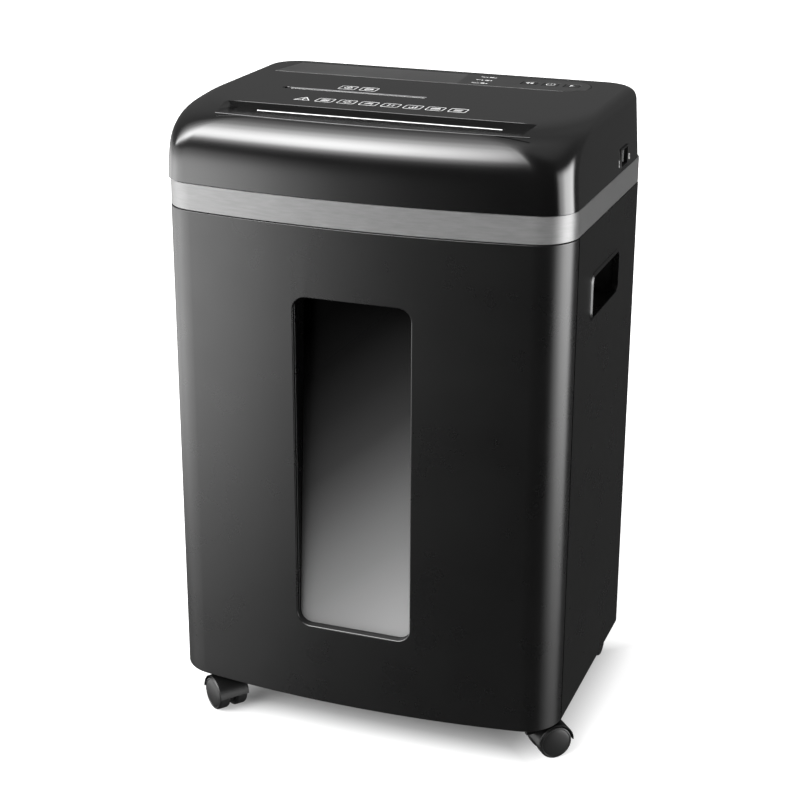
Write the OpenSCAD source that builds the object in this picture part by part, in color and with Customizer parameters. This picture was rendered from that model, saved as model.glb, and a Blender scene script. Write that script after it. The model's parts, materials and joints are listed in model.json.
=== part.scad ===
// Pull-out bin paper shredder on four swivel casters.
// Millimetres, +Z up, front towards -Y. The origin is on the floor, under the middle of the body.

/* [Cabinet] */
// Width of the body
body_w = 370; // [368:1:376]
// Depth of the body at the middle of its bowed front
body_d = 268.5; // [267:0.5:272]
// Radius of the bow across the front
front_radius = 1004; // [900:1:1200]
// Radius of the two front corners
corner_r = 36.5; // [32:0.5:40]
// Radius of the two back corners
back_corner_r = 16; // [14:1:20]
// Thickness of the moulded panels
wall = 3; // [2.6:0.1:3.2]
// Height of the cabinet's underside above the floor
cabinet_z = 38; // [38:0.5:42]
// Height of the cabinet's top edge, where the silver band starts
seam_z = 490.5; // [490:0.5:494]
// Seam between two moulded panels
seam = 0.5; // [0.4:0.1:0.8]
// Where the bin front ends and the side panel begins
bin_seam_y = -88; // [-90:0.5:-86]

/* [Head] */
// Height where the head cover starts, above the silver band
head_z = 515; // [514:0.5:518]
// Height of the flat top
top_z = 579; // [579:0.5:584]
// Radius of the roll from the front face into the top
head_round = 40; // [36:0.5:42]
// Radius of the top's side and back edges
edge_round = 12; // [8:0.5:14]
// Inward lean of the head's sides per millimetre of height
side_draft = 0.077; // [0.04:0.001:0.09]

/* [Feed slots] */
// Width of the paper slot
paper_w = 222; // [218:1:224]
// Middle of the paper slot, left to right
paper_x = 3; // [0:0.5:4]
// Middle of the paper slot, front to back
paper_y = -75; // [-76:0.5:-74]
// Gap of the paper slot
paper_gap = 5.2; // [4.8:0.1:6]
// Width of the disc and card slot
cd_w = 133; // [130:1:134]
// Middle of the disc and card slot, left to right
cd_x = -47.5; // [-49:0.5:-46]
// Middle of the disc and card slot, front to back
cd_y = 1; // [0:0.5:2]
// Gap of the disc and card slot
cd_gap = 4.8; // [4.6:0.1:5.4]

/* [Window] */
// Width of the window opening
window_w = 108; // [100:1:112]
// Lower edge of the window opening
window_z0 = 115; // [113:1:120]
// Upper edge of the window opening
window_z1 = 427; // [420:1:428]
// Radius of the window's corners
window_r = 12; // [8:1:14]
// Depth of the recess at its lower edge
window_d0 = 4; // [3.5:0.5:5]
// Depth of the recess at its upper edge, which is the bin's finger pull
window_d1 = 28; // [24:1:28]

/* [Cutters] */
// Outside radius of the paper cutter discs
disc_r = 20; // [19.6:0.1:20.2]
// Pitch of the discs along a shaft
disc_pitch = 8; // [8:0.1:8.2]
// Thickness of one disc
disc_t = 3.6; // [3.2:0.1:3.7]
// Number of discs on the rear paper shaft
disc_n = 28; // [26:1:28]
// Outside radius of the disc and card cutter's wheels
cd_disc_r = 16; // [15.6:0.1:16.2]
// Number of wheels on the rear disc and card shaft
cd_disc_n = 11; // [9:1:11]
// Height of the cutter shafts
shaft_z = 522; // [521:0.5:523]

/* [Gears] */
// Module of the cutter gears
cutter_module = 1.5; // [1.5]
// Module of the motor stage
motor_module = 1; // [1]
// Teeth on each paper cutter gear
paper_teeth = 25; // [25]
// Teeth on each disc cutter gear and on the idler
cd_teeth = 20; // [20]
// Teeth on the wheel that drives the rear disc cutter
drive_teeth = 28; // [28]
// Teeth on the small end of the reduction gear
small_teeth = 14; // [14]
// Teeth on the large end of the reduction gear
large_teeth = 44; // [44]
// Teeth on the motor pinion
pinion_teeth = 12; // [12]
// Play between two meshed teeth
backlash = 0.24; // [0.15:0.01:0.3]

/* [Casters] */
// Radius of a wheel
wheel_r = 16; // [15:0.5:16.5]
// Distance from the swivel stem to the axle
trail = 21; // [18:0.5:21]
// Half of the width over a pair of wheels
wheel_half_w = 16; // [14:0.5:16.5]
// Distance of the stems from the middle, left to right
stem_x = 157; // [154:0.5:158]
// Distance of the stems from the middle, front to back
stem_y = 95; // [93:0.5:95]

/* [Hidden] */

$fn = 64;
half_w = body_w / 2;
half_d = body_d / 2;
arc_y = front_radius - half_d;
eps = 0.01;
clear = 0.5;

// Colours
black_gloss = [0.06, 0.06, 0.065];
black_satin = [0.12, 0.12, 0.125];
dark_grey = [0.24, 0.24, 0.25];
silver = [0.66, 0.66, 0.67];
steel = [0.55, 0.56, 0.58];
board_green = [0.08, 0.28, 0.16];
nylon_white = [0.88, 0.87, 0.82];
copper = [0.72, 0.45, 0.2];

// Cutter shafts: distance between a pair, and where each one is
paper_span = cutter_module * paper_teeth;
cd_span = cutter_module * cd_teeth;
paper_rear_y = paper_y + paper_span / 2;
paper_front_y = paper_y - paper_span / 2;
cd_front_y = cd_y - cd_span / 2;
cd_rear_y = cd_y + cd_span / 2;
paper_gear_r = cutter_module * paper_teeth / 2;
cd_gear_r = cutter_module * cd_teeth / 2;
reduction_y = cd_rear_y + cutter_module * (drive_teeth + small_teeth) / 2;
motor_y = reduction_y + motor_module * (large_teeth + pinion_teeth) / 2;

// The idler hangs below the shafts, touching the front disc gear and the rear paper gear
idler_base = cd_front_y - paper_rear_y;
idler_a = cd_gear_r * 2;
idler_b = cd_gear_r + paper_gear_r;
idler_along = (idler_base * idler_base + idler_a * idler_a - idler_b * idler_b) / (2 * idler_base);
idler_drop = sqrt(idler_a * idler_a - idler_along * idler_along);
idler_y = cd_front_y - idler_along;
idler_z = shaft_z - idler_drop;

// Chassis and gear planes along X
plate_t = 3;
plate_l = -134;
plate_r = 134;
plate_z1 = 546;
sync_x0 = -146;
sync_w = 8;
motor_gear_x0 = -154;
motor_gear_w = 7;
drive_x0 = -163;
drive_w = 8;
journal_r = 6;
run_gap = 0.05;
bush_r = 9;
pin_r = 4;

// Head deck and bin
deck_z = 474;
deck_t = 3;
plate_z0 = deck_z + deck_t;
tub_x = 158;
tub_y0 = -98;
tub_y1 = 116;
tub_z0 = 60;
tub_z1 = 430;
tub_wall = 2.5;
base_top = cabinet_z + 5;

// Feed recess
recess_floor_z = 568;
recess_front_z = 575;
recess_back_y = -71;
recess_front_y = -112;

// Control strip
strip_y0 = 71;
strip_y1 = 119;
strip_x0 = -157;
strip_x1 = 143;
strip_depth = 1.6;
strip_drop = 0.4;
key_x = [85, 105, 125];
key_y = 97;
key = 14;
lamp_x = [40.5, 49];
lamp_y = [81, 95.5, 110];

// Rocker switch, on the right-hand side of the head
rocker_y = 62;
rocker_z = 526.5;
rocker_w = 22;
rocker_h = 14.5;
rocker_tilt = 9;

// Hand grips in the two sides
grip_y0 = -42;
grip_y1 = 55;
grip_z0 = 403;
grip_z1 = 446;
grip_depth = 22;

// Directions that the casters trail in, in degrees from +X: front left, front right, rear left, rear right
caster_dirs = [-38, 42, -138, 90];

// ---------- Plan outlines ----------

// Wedge that trims one front corner to a radius tangent to the bow and to the side
module front_corner_trim(i) {
    r = corner_r - i;
    cx = half_w - corner_r;
    reach = front_radius - corner_r;
    cy = arc_y - sqrt(reach * reach - cx * cx);
    out = 3 * corner_r;
    difference() {
        polygon([[cx, cy], [cx + out * cx / reach, cy + out * (cy - arc_y) / reach],
            [cx + out, cy - out], [cx + out, cy]]);
        translate([cx, cy]) circle(r);
    }
}

module back_corner_trim(i) {
    c = [half_w - back_corner_r, half_d - back_corner_r];
    difference() {
        translate(c) square(2 * back_corner_r);
        translate(c) circle(back_corner_r - i);
    }
}

// Body outline, moved inwards by i
module plan(i) {
    difference() {
        intersection() {
            translate([0, arc_y]) circle(front_radius - i, $fn = 360);
            translate([-half_w + i, -half_d]) square([body_w - 2 * i, body_d - i]);
        }
        front_corner_trim(i);
        mirror([1, 0]) front_corner_trim(i);
        back_corner_trim(i);
        mirror([1, 0]) back_corner_trim(i);
    }
}

// Upright wall between two outlines
module plan_wall(i0, i1, z0, z1) {
    translate([0, 0, z0]) linear_extrude(z1 - z0) difference() {
        plan(i0);
        plan(i1);
    }
}

// Part of space between two depths
module between_y(y0, y1) {
    translate([-2 * body_w, y0, -10]) cube([4 * body_w, y1 - y0, 2 * top_z]);
}

// Rounded rectangle from (x0, y0) to (x1, y1)
module round_rect(x0, y0, x1, y1, r) {
    translate([x0 + r, y0]) square([x1 - x0 - 2 * r, y1 - y0]);
    translate([x0, y0 + r]) square([x1 - x0, y1 - y0 - 2 * r]);
    for (x = [x0 + r, x1 - r]) for (y = [y0 + r, y1 - r]) translate([x, y]) circle(r);
}

// A cylinder along X from x0, h long
module rod_x(x0, y, z, r, h) {
    translate([x0, y, z]) rotate([0, 90, 0]) cylinder(r = r, h = h);
}

// A 2D outline drawn in (y, z), made into a slab from x0, h thick
module slab_x(x0, h) {
    translate([x0, 0, 0]) rotate([90, 0, 90]) linear_extrude(h) children();
}

// A 2D outline drawn in (x, z), made into a slab from y0 to y1
module slab_y(y0, y1) {
    translate([0, y1, 0]) rotate([90, 0, 0]) linear_extrude(y1 - y0) children();
}

// ---------- Gears ----------

pressure_angle = 25;

function involute(rb, t) = [rb * (cos(t) + t * PI / 180 * sin(t)), rb * (sin(t) - t * PI / 180 * cos(t))];
function turn(p, a) = [p[0] * cos(a) - p[1] * sin(a), p[0] * sin(a) + p[1] * cos(a)];
function polar_angle(p) = atan2(p[1], p[0]);
function roll_to(rb, r) = r > rb ? sqrt(r * r / (rb * rb) - 1) * 180 / PI : 0;

// One flank of a tooth that is centred on the X axis, from root to tip
function flank(m, z, steps) = let (
        rp = m * z / 2,
        rb = rp * cos(pressure_angle),
        rr = rp - 1.25 * m,
        rt = rp + 0.95 * m,
        half = 90 / z - backlash / rp * 90 / PI,
        shift = -half - polar_angle(involute(rb, roll_to(rb, rp))),
        t0 = roll_to(rb, max(rb, rr)),
        t1 = roll_to(rb, rt),
        root = turn(involute(rb, t0), shift)
    ) concat([rr < rb ? rr / norm(root) * root : root],
        [for (k = [0 : steps]) turn(involute(rb, t0 + (t1 - t0) * k / steps), shift)]);

function gear_points(m, z) = let (right = flank(m, z, 4)) [
    for (k = [0 : z - 1]) for (side = [0, 1]) for (j = [0 : len(right) - 1])
        let (p = side == 0 ? right[j] : right[len(right) - 1 - j])
            turn([p[0], side == 0 ? p[1] : -p[1]], 360 * k / z)];

// Gear on an axis along X, with tooth 0 turned to the given angle in the (y, z) plane
module gear_x(m, z, x0, w, y, zc, phase, bore_r) {
    slab_x(x0, w) translate([y, zc]) rotate(phase) difference() {
        polygon(gear_points(m, z));
        circle(bore_r);
    }
}

// Phase of a second gear, so that its gap faces a tooth of the first along direction dir
function meshed(z1, phase1, dir, z2) = dir + 180 + 360 / z2 * (0.5 - (phase1 - dir) * z1 / 360);

paper_rear_phase = 0;
paper_front_phase = meshed(paper_teeth, paper_rear_phase, 180, paper_teeth);
idler_dir = atan2(idler_z - shaft_z, idler_y - paper_rear_y);
idler_phase = meshed(paper_teeth, paper_rear_phase, idler_dir, cd_teeth);
idler_to_cd = atan2(shaft_z - idler_z, cd_front_y - idler_y);
cd_front_phase = meshed(cd_teeth, idler_phase, idler_to_cd, cd_teeth);
cd_rear_phase = meshed(cd_teeth, cd_front_phase, 0, cd_teeth);
small_phase = meshed(drive_teeth, 0, 0, small_teeth);
pinion_phase = meshed(large_teeth, 0, 0, pinion_teeth);

// ---------- Cabinet ----------

module base_tray() color(black_satin) difference() {
    union() {
        translate([0, 0, cabinet_z]) linear_extrude(base_top - cabinet_z) plan(wall + 1);
        intersection() {
            plan_wall(wall, 2 * wall, base_top - eps, base_top + 15);
            between_y(-80, half_d);
        }
        for (x = [-stem_x, stem_x]) for (y = [-stem_y, stem_y])
            translate([x, y, base_top - eps]) cylinder(r = 9, h = 13);
    }
    for (x = [-stem_x, stem_x]) for (y = [-stem_y, stem_y])
        translate([x, y, cabinet_z - 1]) cylinder(r = 6, h = 40);
}

module caster_sockets() color(nylon_white) {
    for (x = [-stem_x, stem_x]) for (y = [-stem_y, stem_y]) translate([x, y, cabinet_z]) difference() {
        cylinder(r = 6, h = 18);
        translate([0, 0, -1]) cylinder(r = pin_r + run_gap, h = 20);
    }
}

// One side wall with its grip hole and the ledge that carries the head deck
module side_panel() color(black_satin) {
    difference() {
        intersection() {
            plan_wall(0, wall, cabinet_z, seam_z - seam);
            between_y(bin_seam_y + seam / 2, half_d - back_corner_r - 0.1);
            translate([0, -body_d, 0]) cube([body_w, 2 * body_d, top_z]);
        }
        translate([half_w - 2 * wall, 0, 0]) slab_x(0, 3 * wall)
            round_rect(grip_y0, grip_z0, grip_y1, grip_z1, 9);
    }
    translate([half_w - wall - 6, bin_seam_y + 6, deck_z - 8]) cube([6 + eps, 194, 7.8]);
}

module side_panel_right() { side_panel(); }
module side_panel_left() { mirror([1, 0, 0]) side_panel(); }

// Finger cup behind a grip hole
module grip_cup() color(black_satin) difference() {
    slab_x(half_w - grip_depth - 2, grip_depth + 2 - wall)
        round_rect(grip_y0 - 4, grip_z0 - 4, grip_y1 + 4, grip_z1 + 4, 12);
    slab_x(half_w - grip_depth, grip_depth)
        round_rect(grip_y0, grip_z0, grip_y1, grip_z1, 9);
}

module grip_cup_right() { grip_cup(); }
module grip_cup_left() { mirror([1, 0, 0]) grip_cup(); }

vent_n = 9;
vent_h = 5;

module back_panel() color(black_satin) difference() {
    intersection() {
        plan_wall(0, wall, cabinet_z, seam_z - seam);
        between_y(half_d - back_corner_r + 0.1, body_d);
    }
    for (k = [0 : vent_n - 1]) slab_y(half_d - 2 * wall, half_d + wall)
        round_rect(-60, 380 + 9 * k, 60, 380 + 9 * k + vent_h, 2.4);
}

// Two angle guides on the base that keep the bin straight
module bin_guides() color(dark_grey) {
    for (s = [0, 1]) mirror([s, 0, 0]) translate([tub_x + clear, -78, base_top]) difference() {
        cube([9, 150, 22]);
        translate([2.5, -1, 2.5]) cube([20, 152, 22]);
    }
}

// ---------- Head ----------

// Deck that closes the head from below, with a drop window under each cutter
module head_base() color(black_satin) difference() {
    union() {
        translate([0, 0, deck_z]) linear_extrude(deck_t) plan(wall + 0.6);
        plan_wall(wall + 0.6, 2 * wall, deck_z, head_z);
    }
    at_screws() translate([0, 0, deck_z - 1]) cylinder(r = screw_r + 0.2, h = 10);
    translate([paper_x - paper_w / 2 - 3, -117, deck_z - 1]) cube([paper_w + 6, 78, 10]);
    translate([cd_x - cd_w / 2 - 3, -33, deck_z - 1]) cube([cd_w + 6, 68, 10]);
}

module trim_band() color(silver) {
    plan_wall(0.3, wall, seam_z, head_z - seam);
}

// Outside shape of the head, moved inwards by i
module head_solid(i) {
    z0 = i > 0 ? head_z - 1 : head_z;
    h = top_z - i - z0;
    r = head_round - i;
    e = edge_round - i;
    lean = atan(side_draft);
    cz = top_z - edge_round;
    cx = half_w - i - side_draft * (cz - head_z) - e / cos(lean);
    intersection() {
        translate([0, arc_y, z0]) rotate_extrude($fn = 360) {
            square([front_radius - i - r, h]);
            square([front_radius - i, h - r]);
            translate([front_radius - i - r, h - r]) intersection() {
                circle(r);
                square(r);
            }
        }
        translate([0, 0, z0]) linear_extrude(h) plan(i);
        slab_y(-half_d - 1, half_d + 1) {
            polygon([[-half_w + i, z0], [half_w - i, z0], [cx + e * cos(lean), cz + e * sin(lean)],
                [cx, cz], [cx, cz + e], [-cx, cz + e], [-cx, cz], [-cx - e * cos(lean), cz + e * sin(lean)]]);
            translate([cx, cz]) circle(e);
            translate([-cx, cz]) circle(e);
        }
        slab_x(-half_w, body_w) {
            translate([-half_d - 1, z0]) square([body_d + 1 - edge_round, h]);
            translate([-half_d - 1, z0]) square([body_d + 1 - i, cz - z0]);
            translate([half_d - edge_round, cz]) circle(e);
        }
    }
}

// Plan of the feed recess, with its ends splayed towards the front
module recess_plan(grow) {
    polygon([[-133 - grow, recess_back_y + grow], [142 + grow, recess_back_y + grow],
        [147 + grow, -half_d - 5], [-140 - grow, -half_d - 5]]);
}

// Space above the sunk feed tray; drop moves its floor down
module recess_space(grow, drop) {
    intersection() {
        translate([0, 0, recess_floor_z - 10]) linear_extrude(40) recess_plan(grow);
        slab_x(-half_w, body_w) polygon([[0, recess_floor_z - drop], [paper_y, recess_floor_z - drop],
            [recess_front_y, recess_front_z - drop], [-half_d - 10, recess_front_z + 3 - drop],
            [-half_d - 10, top_z + 5], [0, top_z + 5]]);
    }
}

module paper_slot(z0, z1, gap, w) {
    translate([paper_x - w / 2, paper_y - gap / 2, z0]) cube([w, gap, z1 - z0]);
}

module cd_slot(z0, z1, gap, w) {
    translate([cd_x - w / 2, cd_y - gap / 2, z0]) cube([w, gap, z1 - z0]);
}

// Control strip outline: square-cut left end leaning with the panel, round right end
module strip_plan(i) {
    r = (strip_y1 - strip_y0) / 2 - i;
    c = (strip_y0 + strip_y1) / 2;
    translate([strip_x1 - r - i, c]) circle(r);
    polygon([[strip_x0 + i, strip_y0 + i], [strip_x0 + i + 8, strip_y1 - i],
        [strip_x1 - r - i, strip_y1 - i], [strip_x1 - r - i, strip_y0 + i]]);
}

module key_holes(grow) {
    for (x = key_x) translate([x, key_y]) square(key + 2 * grow, center = true);
}

module lamp_holes(r) {
    for (x = lamp_x) for (y = lamp_y) translate([x, y]) circle(r, $fn = 24);
}

screw_r = 2;
post_r = 4.5;

module at_screws() {
    for (x = [-171, 171]) for (y = [-70, 106]) translate([x, y, 0]) children();
}

gland_x = -60;
gland_z = 531;
gland_r = 7;

module head_cover() color(black_gloss) difference() {
    union() {
        difference() {
            head_solid(0);
            difference() {
                head_solid(wall);
                recess_space(wall, wall);
            }
        }
        at_screws() translate([0, 0, plate_z0]) cylinder(r = post_r, h = top_z - wall + 1 - plate_z0);
    }
    at_screws() translate([0, 0, plate_z0 - 1]) cylinder(r = screw_r, h = 24);
    recess_space(0, 0);
    paper_slot(deck_z, top_z + 1, paper_gap, paper_w);
    cd_slot(top_z - 10, top_z + 1, cd_gap, cd_w);
    translate([0, 0, top_z - strip_depth]) linear_extrude(5) strip_plan(0);
    translate([0, 0, top_z - 10]) linear_extrude(12) {
        key_holes(clear);
        lamp_holes(1.6);
    }
    translate([half_w - 12, rocker_y - rocker_w / 2 - 2, rocker_z - rocker_h / 2 - 2])
        cube([20, rocker_w + 4, rocker_h + 4]);
    translate([gland_x, half_d - 8, gland_z]) rotate([-90, 0, 0]) cylinder(r = gland_r, h = 20);
    for (x = [20 : 9 : 130]) slab_y(half_d - 8, half_d + 2) round_rect(x, 526, x + 4.4, 558, 2.1);
}

module control_panel() color(dark_grey) difference() {
    translate([0, 0, top_z - strip_depth]) linear_extrude(strip_depth - strip_drop) strip_plan(0.3);
    translate([0, 0, top_z - 10]) linear_extrude(12) {
        key_holes(0.35);
        lamp_holes(1.4);
    }
}

module indicator_lenses() color("white") {
    translate([0, 0, top_z - 5]) linear_extrude(5 - strip_drop) lamp_holes(1.4);
}

module key_cap(x) color(black_gloss) {
    translate([x, key_y, 0]) {
        translate([0, 0, top_z - 4.2]) linear_extrude(4.2) square(key, center = true);
        translate([0, 0, top_z - 6.2]) linear_extrude(2.01) square(key + 3, center = true);
        translate([0, 0, top_z - 8.6]) cylinder(r = 3, h = 3);
    }
}

module button_reverse() { key_cap(key_x[0]); }
module button_power() { key_cap(key_x[1]); }
module button_forward() { key_cap(key_x[2]); }

board_z = 563;

// Circuit board under the control strip, with a switch under each key and a lamp under each lens
module control_board() color(board_green) {
    translate([30, strip_y0 + 4, board_z]) cube([108, 38, 1.6]);
    for (x = key_x) {
        translate([x - 3, key_y - 3, board_z + 1.59]) cube([6, 6, 3]);
        translate([x, key_y, board_z + 4.5]) cylinder(r = 1.7, h = 0.6);
    }
    for (x = lamp_x) for (y = lamp_y) translate([x, y, board_z + 1.59]) cylinder(r = 1.2, h = 6.5);
    translate([60, strip_y0 + 6, board_z - 4]) cube([14, 5, 4.01]);
}

// Mains and motor board, standing on the deck behind the cutters
module power_board() color(board_green) {
    translate([-20, 44, deck_z + deck_t + 6]) cube([130, 76, 1.6]);
    translate([0, 52, deck_z + deck_t + 7.59]) cube([38, 34, 28]);
    translate([62, 60, deck_z + deck_t + 7.59]) cylinder(r = 11, h = 30);
    translate([88, 56, deck_z + deck_t + 7.59]) cube([16, 20, 15]);
    translate([56, 96, deck_z + deck_t + 7.59]) cube([44, 3, 26]);
    for (x = [-14, 104]) for (y = [50, 114])
        translate([x, y, deck_z + deck_t]) cylinder(r = 3, h = 6.01);
}

// Switch body, which snaps into the side of the head
module switch_housing() color(black_satin) difference() {
    translate([half_w - 26, rocker_y - rocker_w / 2 - 2, rocker_z - rocker_h / 2 - 2])
        cube([24.5, rocker_w + 4, rocker_h + 4]);
    translate([half_w - 14, rocker_y - rocker_w / 2, rocker_z - rocker_h / 2])
        cube([20, rocker_w, rocker_h]);
}

rocker_x = half_w - 9;

// Rocker paddle at its off position: two faces that meet in a shallow V, on a trunnion
module power_rocker() color(black_gloss)
    translate([rocker_x, rocker_y, rocker_z - rocker_h / 2 + 0.4]) rotate([0, 0, -rocker_tilt])
        linear_extrude(rocker_h - 0.8) {
            polygon([[-1, -9.6], [4.6, -9.6], [3.4, 0], [4.6, 9.6], [-1, 9.6]]);
            circle(3);
        }

// Nylon gland that guides the mains lead out of the back
module cord_gland() color(black_satin) translate([gland_x, half_d, gland_z]) rotate([90, 0, 0]) difference() {
    union() {
        cylinder(r = gland_r, h = wall + 0.01);
        translate([0, 0, wall]) cylinder(r = gland_r + 3, h = 3);
        translate([0, 0, wall]) cylinder(r = gland_r - 1, h = 14);
    }
    translate([0, 0, -1]) cylinder(r = 3.6, h = 30);
}

// Four screws that hold the head cover to the deck, up into its posts
module head_screws() color(steel) at_screws() translate([0, 0, deck_z - 3]) difference() {
    union() {
        cylinder(r = 4, h = 3);
        cylinder(r = screw_r, h = 18);
    }
    translate([0, 0, -1]) cylinder(r = 1.8, h = 2.6, $fn = 6);
}

// ---------- Cutter chassis ----------

module plate_holes() {
    for (y = [paper_front_y, paper_rear_y, cd_front_y, cd_rear_y])
        translate([y, shaft_z]) circle(bush_r);
    for (p = rod_places) translate(p) circle(4);
}

rod_places = [[-101, 494], [-35, 540], [36, 541], [36, 492]];

module chassis_plate_left() color(steel) slab_x(plate_l, plate_t) difference() {
    union() {
        translate([-113, plate_z0]) square([156, plate_z1 - plate_z0]);
        translate([42.9, plate_z0]) square([68, plate_z1 - plate_z0 + 6]);
    }
    plate_holes();
    translate([reduction_y, shaft_z]) circle(pin_r);
    translate([motor_y, shaft_z]) circle(10);
    translate([idler_y, idler_z]) circle(pin_r);
}

module chassis_plate_right() color(steel) slab_x(plate_r, plate_t) difference() {
    translate([-113, plate_z0]) square([156, plate_z1 - plate_z0]);
    plate_holes();
}

module tie_rods() color(steel) {
    for (p = rod_places) rod_x(plate_l, p[0], p[1], 4, plate_r + plate_t - plate_l);
}

module shaft_bushes() color(copper) {
    for (x = [plate_l, plate_r]) for (y = [paper_front_y, paper_rear_y, cd_front_y, cd_rear_y])
        difference() {
            rod_x(x, y, shaft_z, bush_r, plate_t);
            rod_x(x - 1, y, shaft_z, journal_r + run_gap, plate_t + 2);
        }
}

// Fixed studs for the idler and the reduction gear
module gear_pins() color(steel) {
    rod_x(sync_x0 - 2, idler_y, idler_z, pin_r, plate_l + plate_t - sync_x0 + 2);
    rod_x(drive_x0 - 2, reduction_y, shaft_z, pin_r, plate_l + plate_t - drive_x0 + 2);
}

// One toothed cutting disc, drawn in (y, z)
module cutter_outline(r, hooks) {
    difference() {
        circle(r);
        for (k = [0 : hooks - 1]) rotate(k * 360 / hooks)
            polygon([[r - 2.4, 0], [r + 1, -0.6], [r + 1, 3.6]]);
    }
}

// Roller: journals, hub and a row of discs
module cutter_roller(y, r, hub_r, x0, pitch, t, n, hooks, end_l, hub_x0, hub_x1) {
    rod_x(end_l, y, shaft_z, journal_r, plate_r + plate_t - end_l);
    rod_x(hub_x0, y, shaft_z, hub_r, hub_x1 - hub_x0);
    for (k = [0 : n - 1]) slab_x(x0 + k * pitch, t) translate([y, shaft_z]) rotate(k * 17)
        cutter_outline(r, hooks);
}

paper_x0 = paper_x - (disc_n - 0.5) * disc_pitch / 2;
paper_hub_r = 15.8;
cd_pitch = 12;
cd_disc_t = 5.6;
cd_x0 = cd_x - (cd_disc_n - 0.5) * cd_pitch / 2;
cd_hub_r = 12.6;

module paper_cutter_rear() color(steel)
    cutter_roller(paper_rear_y, disc_r, paper_hub_r, paper_x0, disc_pitch, disc_t, disc_n, 3,
        sync_x0 - 1, -120, 125);

module paper_cutter_front() color(steel)
    cutter_roller(paper_front_y, disc_r, paper_hub_r, paper_x0 + disc_pitch / 2, disc_pitch, disc_t,
        disc_n - 1, 3, sync_x0 - 1, -120, 125);

module cd_cutter_front() color(steel)
    cutter_roller(cd_front_y, cd_disc_r, cd_hub_r, cd_x0 + cd_pitch / 2, cd_pitch, cd_disc_t,
        cd_disc_n - 1, 4, sync_x0 - 1, -120, 24);

module cd_cutter_rear() color(steel)
    cutter_roller(cd_rear_y, cd_disc_r, cd_hub_r, cd_x0, cd_pitch, cd_disc_t, cd_disc_n, 4,
        drive_x0 - 2, -120, 24);

module paper_gear_rear() color(steel) gear_x(cutter_module, paper_teeth, sync_x0, sync_w,
    paper_rear_y, shaft_z, paper_rear_phase, journal_r);

module paper_gear_front() color(steel) gear_x(cutter_module, paper_teeth, sync_x0, sync_w,
    paper_front_y, shaft_z, paper_front_phase, journal_r);

module cd_gear_front() color(steel) gear_x(cutter_module, cd_teeth, sync_x0, sync_w,
    cd_front_y, shaft_z, cd_front_phase, journal_r);

// Double gear on the rear disc shaft: one row meshes with its pair, the other takes the drive
module cd_gear_rear() color(steel) {
    gear_x(cutter_module, cd_teeth, sync_x0, sync_w, cd_rear_y, shaft_z, cd_rear_phase, journal_r);
    difference() {
        rod_x(drive_x0 + drive_w, cd_rear_y, shaft_z, 7.6, sync_x0 - drive_x0 - drive_w + eps);
        rod_x(drive_x0, cd_rear_y, shaft_z, journal_r, 30);
    }
    gear_x(cutter_module, drive_teeth, drive_x0, drive_w + eps, cd_rear_y, shaft_z, 0, journal_r);
}

module idler_gear() color(nylon_white) gear_x(cutter_module, cd_teeth, sync_x0, sync_w,
    idler_y, idler_z, idler_phase, pin_r + run_gap);

// Large wheel that the motor turns, moulded with the small wheel that drives the cutters
module reduction_gear() color(nylon_white) {
    gear_x(motor_module, large_teeth, motor_gear_x0, motor_gear_w, reduction_y, shaft_z, 0,
        pin_r + run_gap);
    gear_x(cutter_module, small_teeth, drive_x0, motor_gear_x0 - drive_x0 + eps, reduction_y, shaft_z,
        small_phase, pin_r + run_gap);
}

motor_r = 26;
motor_x1 = -44;
rotor_gap = 0.8;

// Motor casing: a can with two end bells, bolted to the left chassis plate
module motor_can() color(steel) difference() {
    union() {
        rod_x(plate_l + plate_t, motor_y, shaft_z, motor_r, motor_x1 - plate_l - plate_t);
        rod_x(motor_x1 - eps, motor_y, shaft_z, 10, 6);
    }
    rod_x(plate_l + plate_t + 5, motor_y, shaft_z, motor_r - 3, motor_x1 - plate_l - plate_t - 10);
    rod_x(plate_l, motor_y, shaft_z, 4 + run_gap, 120);
    for (k = [0 : 5]) translate([motor_x1 - 14, motor_y, shaft_z]) rotate([k * 60 + 30, 0, 0])
        translate([0, -4, 10]) cube([6, 8, 30]);
}

module motor_rotor() color(copper) {
    rod_x(motor_gear_x0 - 1, motor_y, shaft_z, 4, 126);
    rod_x(plate_l + plate_t + 12, motor_y, shaft_z, motor_r - 3 - rotor_gap - 4, 48);
    rod_x(motor_x1 - 24, motor_y, shaft_z, 11, 14);
}

module motor_pinion() color(steel) gear_x(motor_module, pinion_teeth, motor_gear_x0, motor_gear_w,
    motor_y, shaft_z, pinion_phase, 4);

// Cooling fan on the motor's far end
module motor_fan() color(black_satin) difference() {
    union() {
        rod_x(motor_x1 + 7, motor_y, shaft_z, 8, 9);
        rod_x(motor_x1 + 7, motor_y, shaft_z, 22, 1.6);
        for (k = [0 : 8]) translate([motor_x1 + 8, motor_y, shaft_z]) rotate([k * 40, 0, 0])
            translate([0, -0.8, 6.5]) cube([7, 1.6, 14]);
    }
    rod_x(motor_x1, motor_y, shaft_z, 4, 40);
}

// Comb of scraper fingers that reach between the discs of one roller
module comb(y, side, x0, n) {
    bar_y = y + side * 21.6;
    for (k = [0 : n - 1]) slab_x(x0 + disc_t + 0.75 + k * disc_pitch, disc_pitch - disc_t - 1.5) difference() {
        translate([min(bar_y, y + side * 8), shaft_z - 12]) square([abs(bar_y - y - side * 8), 9]);
        translate([y, shaft_z]) circle(paper_hub_r + 0.6);
    }
    translate([plate_l + plate_t, bar_y - 1.2, shaft_z - 14]) cube([plate_r - plate_l - plate_t, 2.4, 13]);
}

module comb_rear() color(steel) comb(paper_rear_y, 1, paper_x0, disc_n - 1);
module comb_front() color(steel) comb(paper_front_y, -1, paper_x0 + disc_pitch / 2, disc_n - 2);

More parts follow.
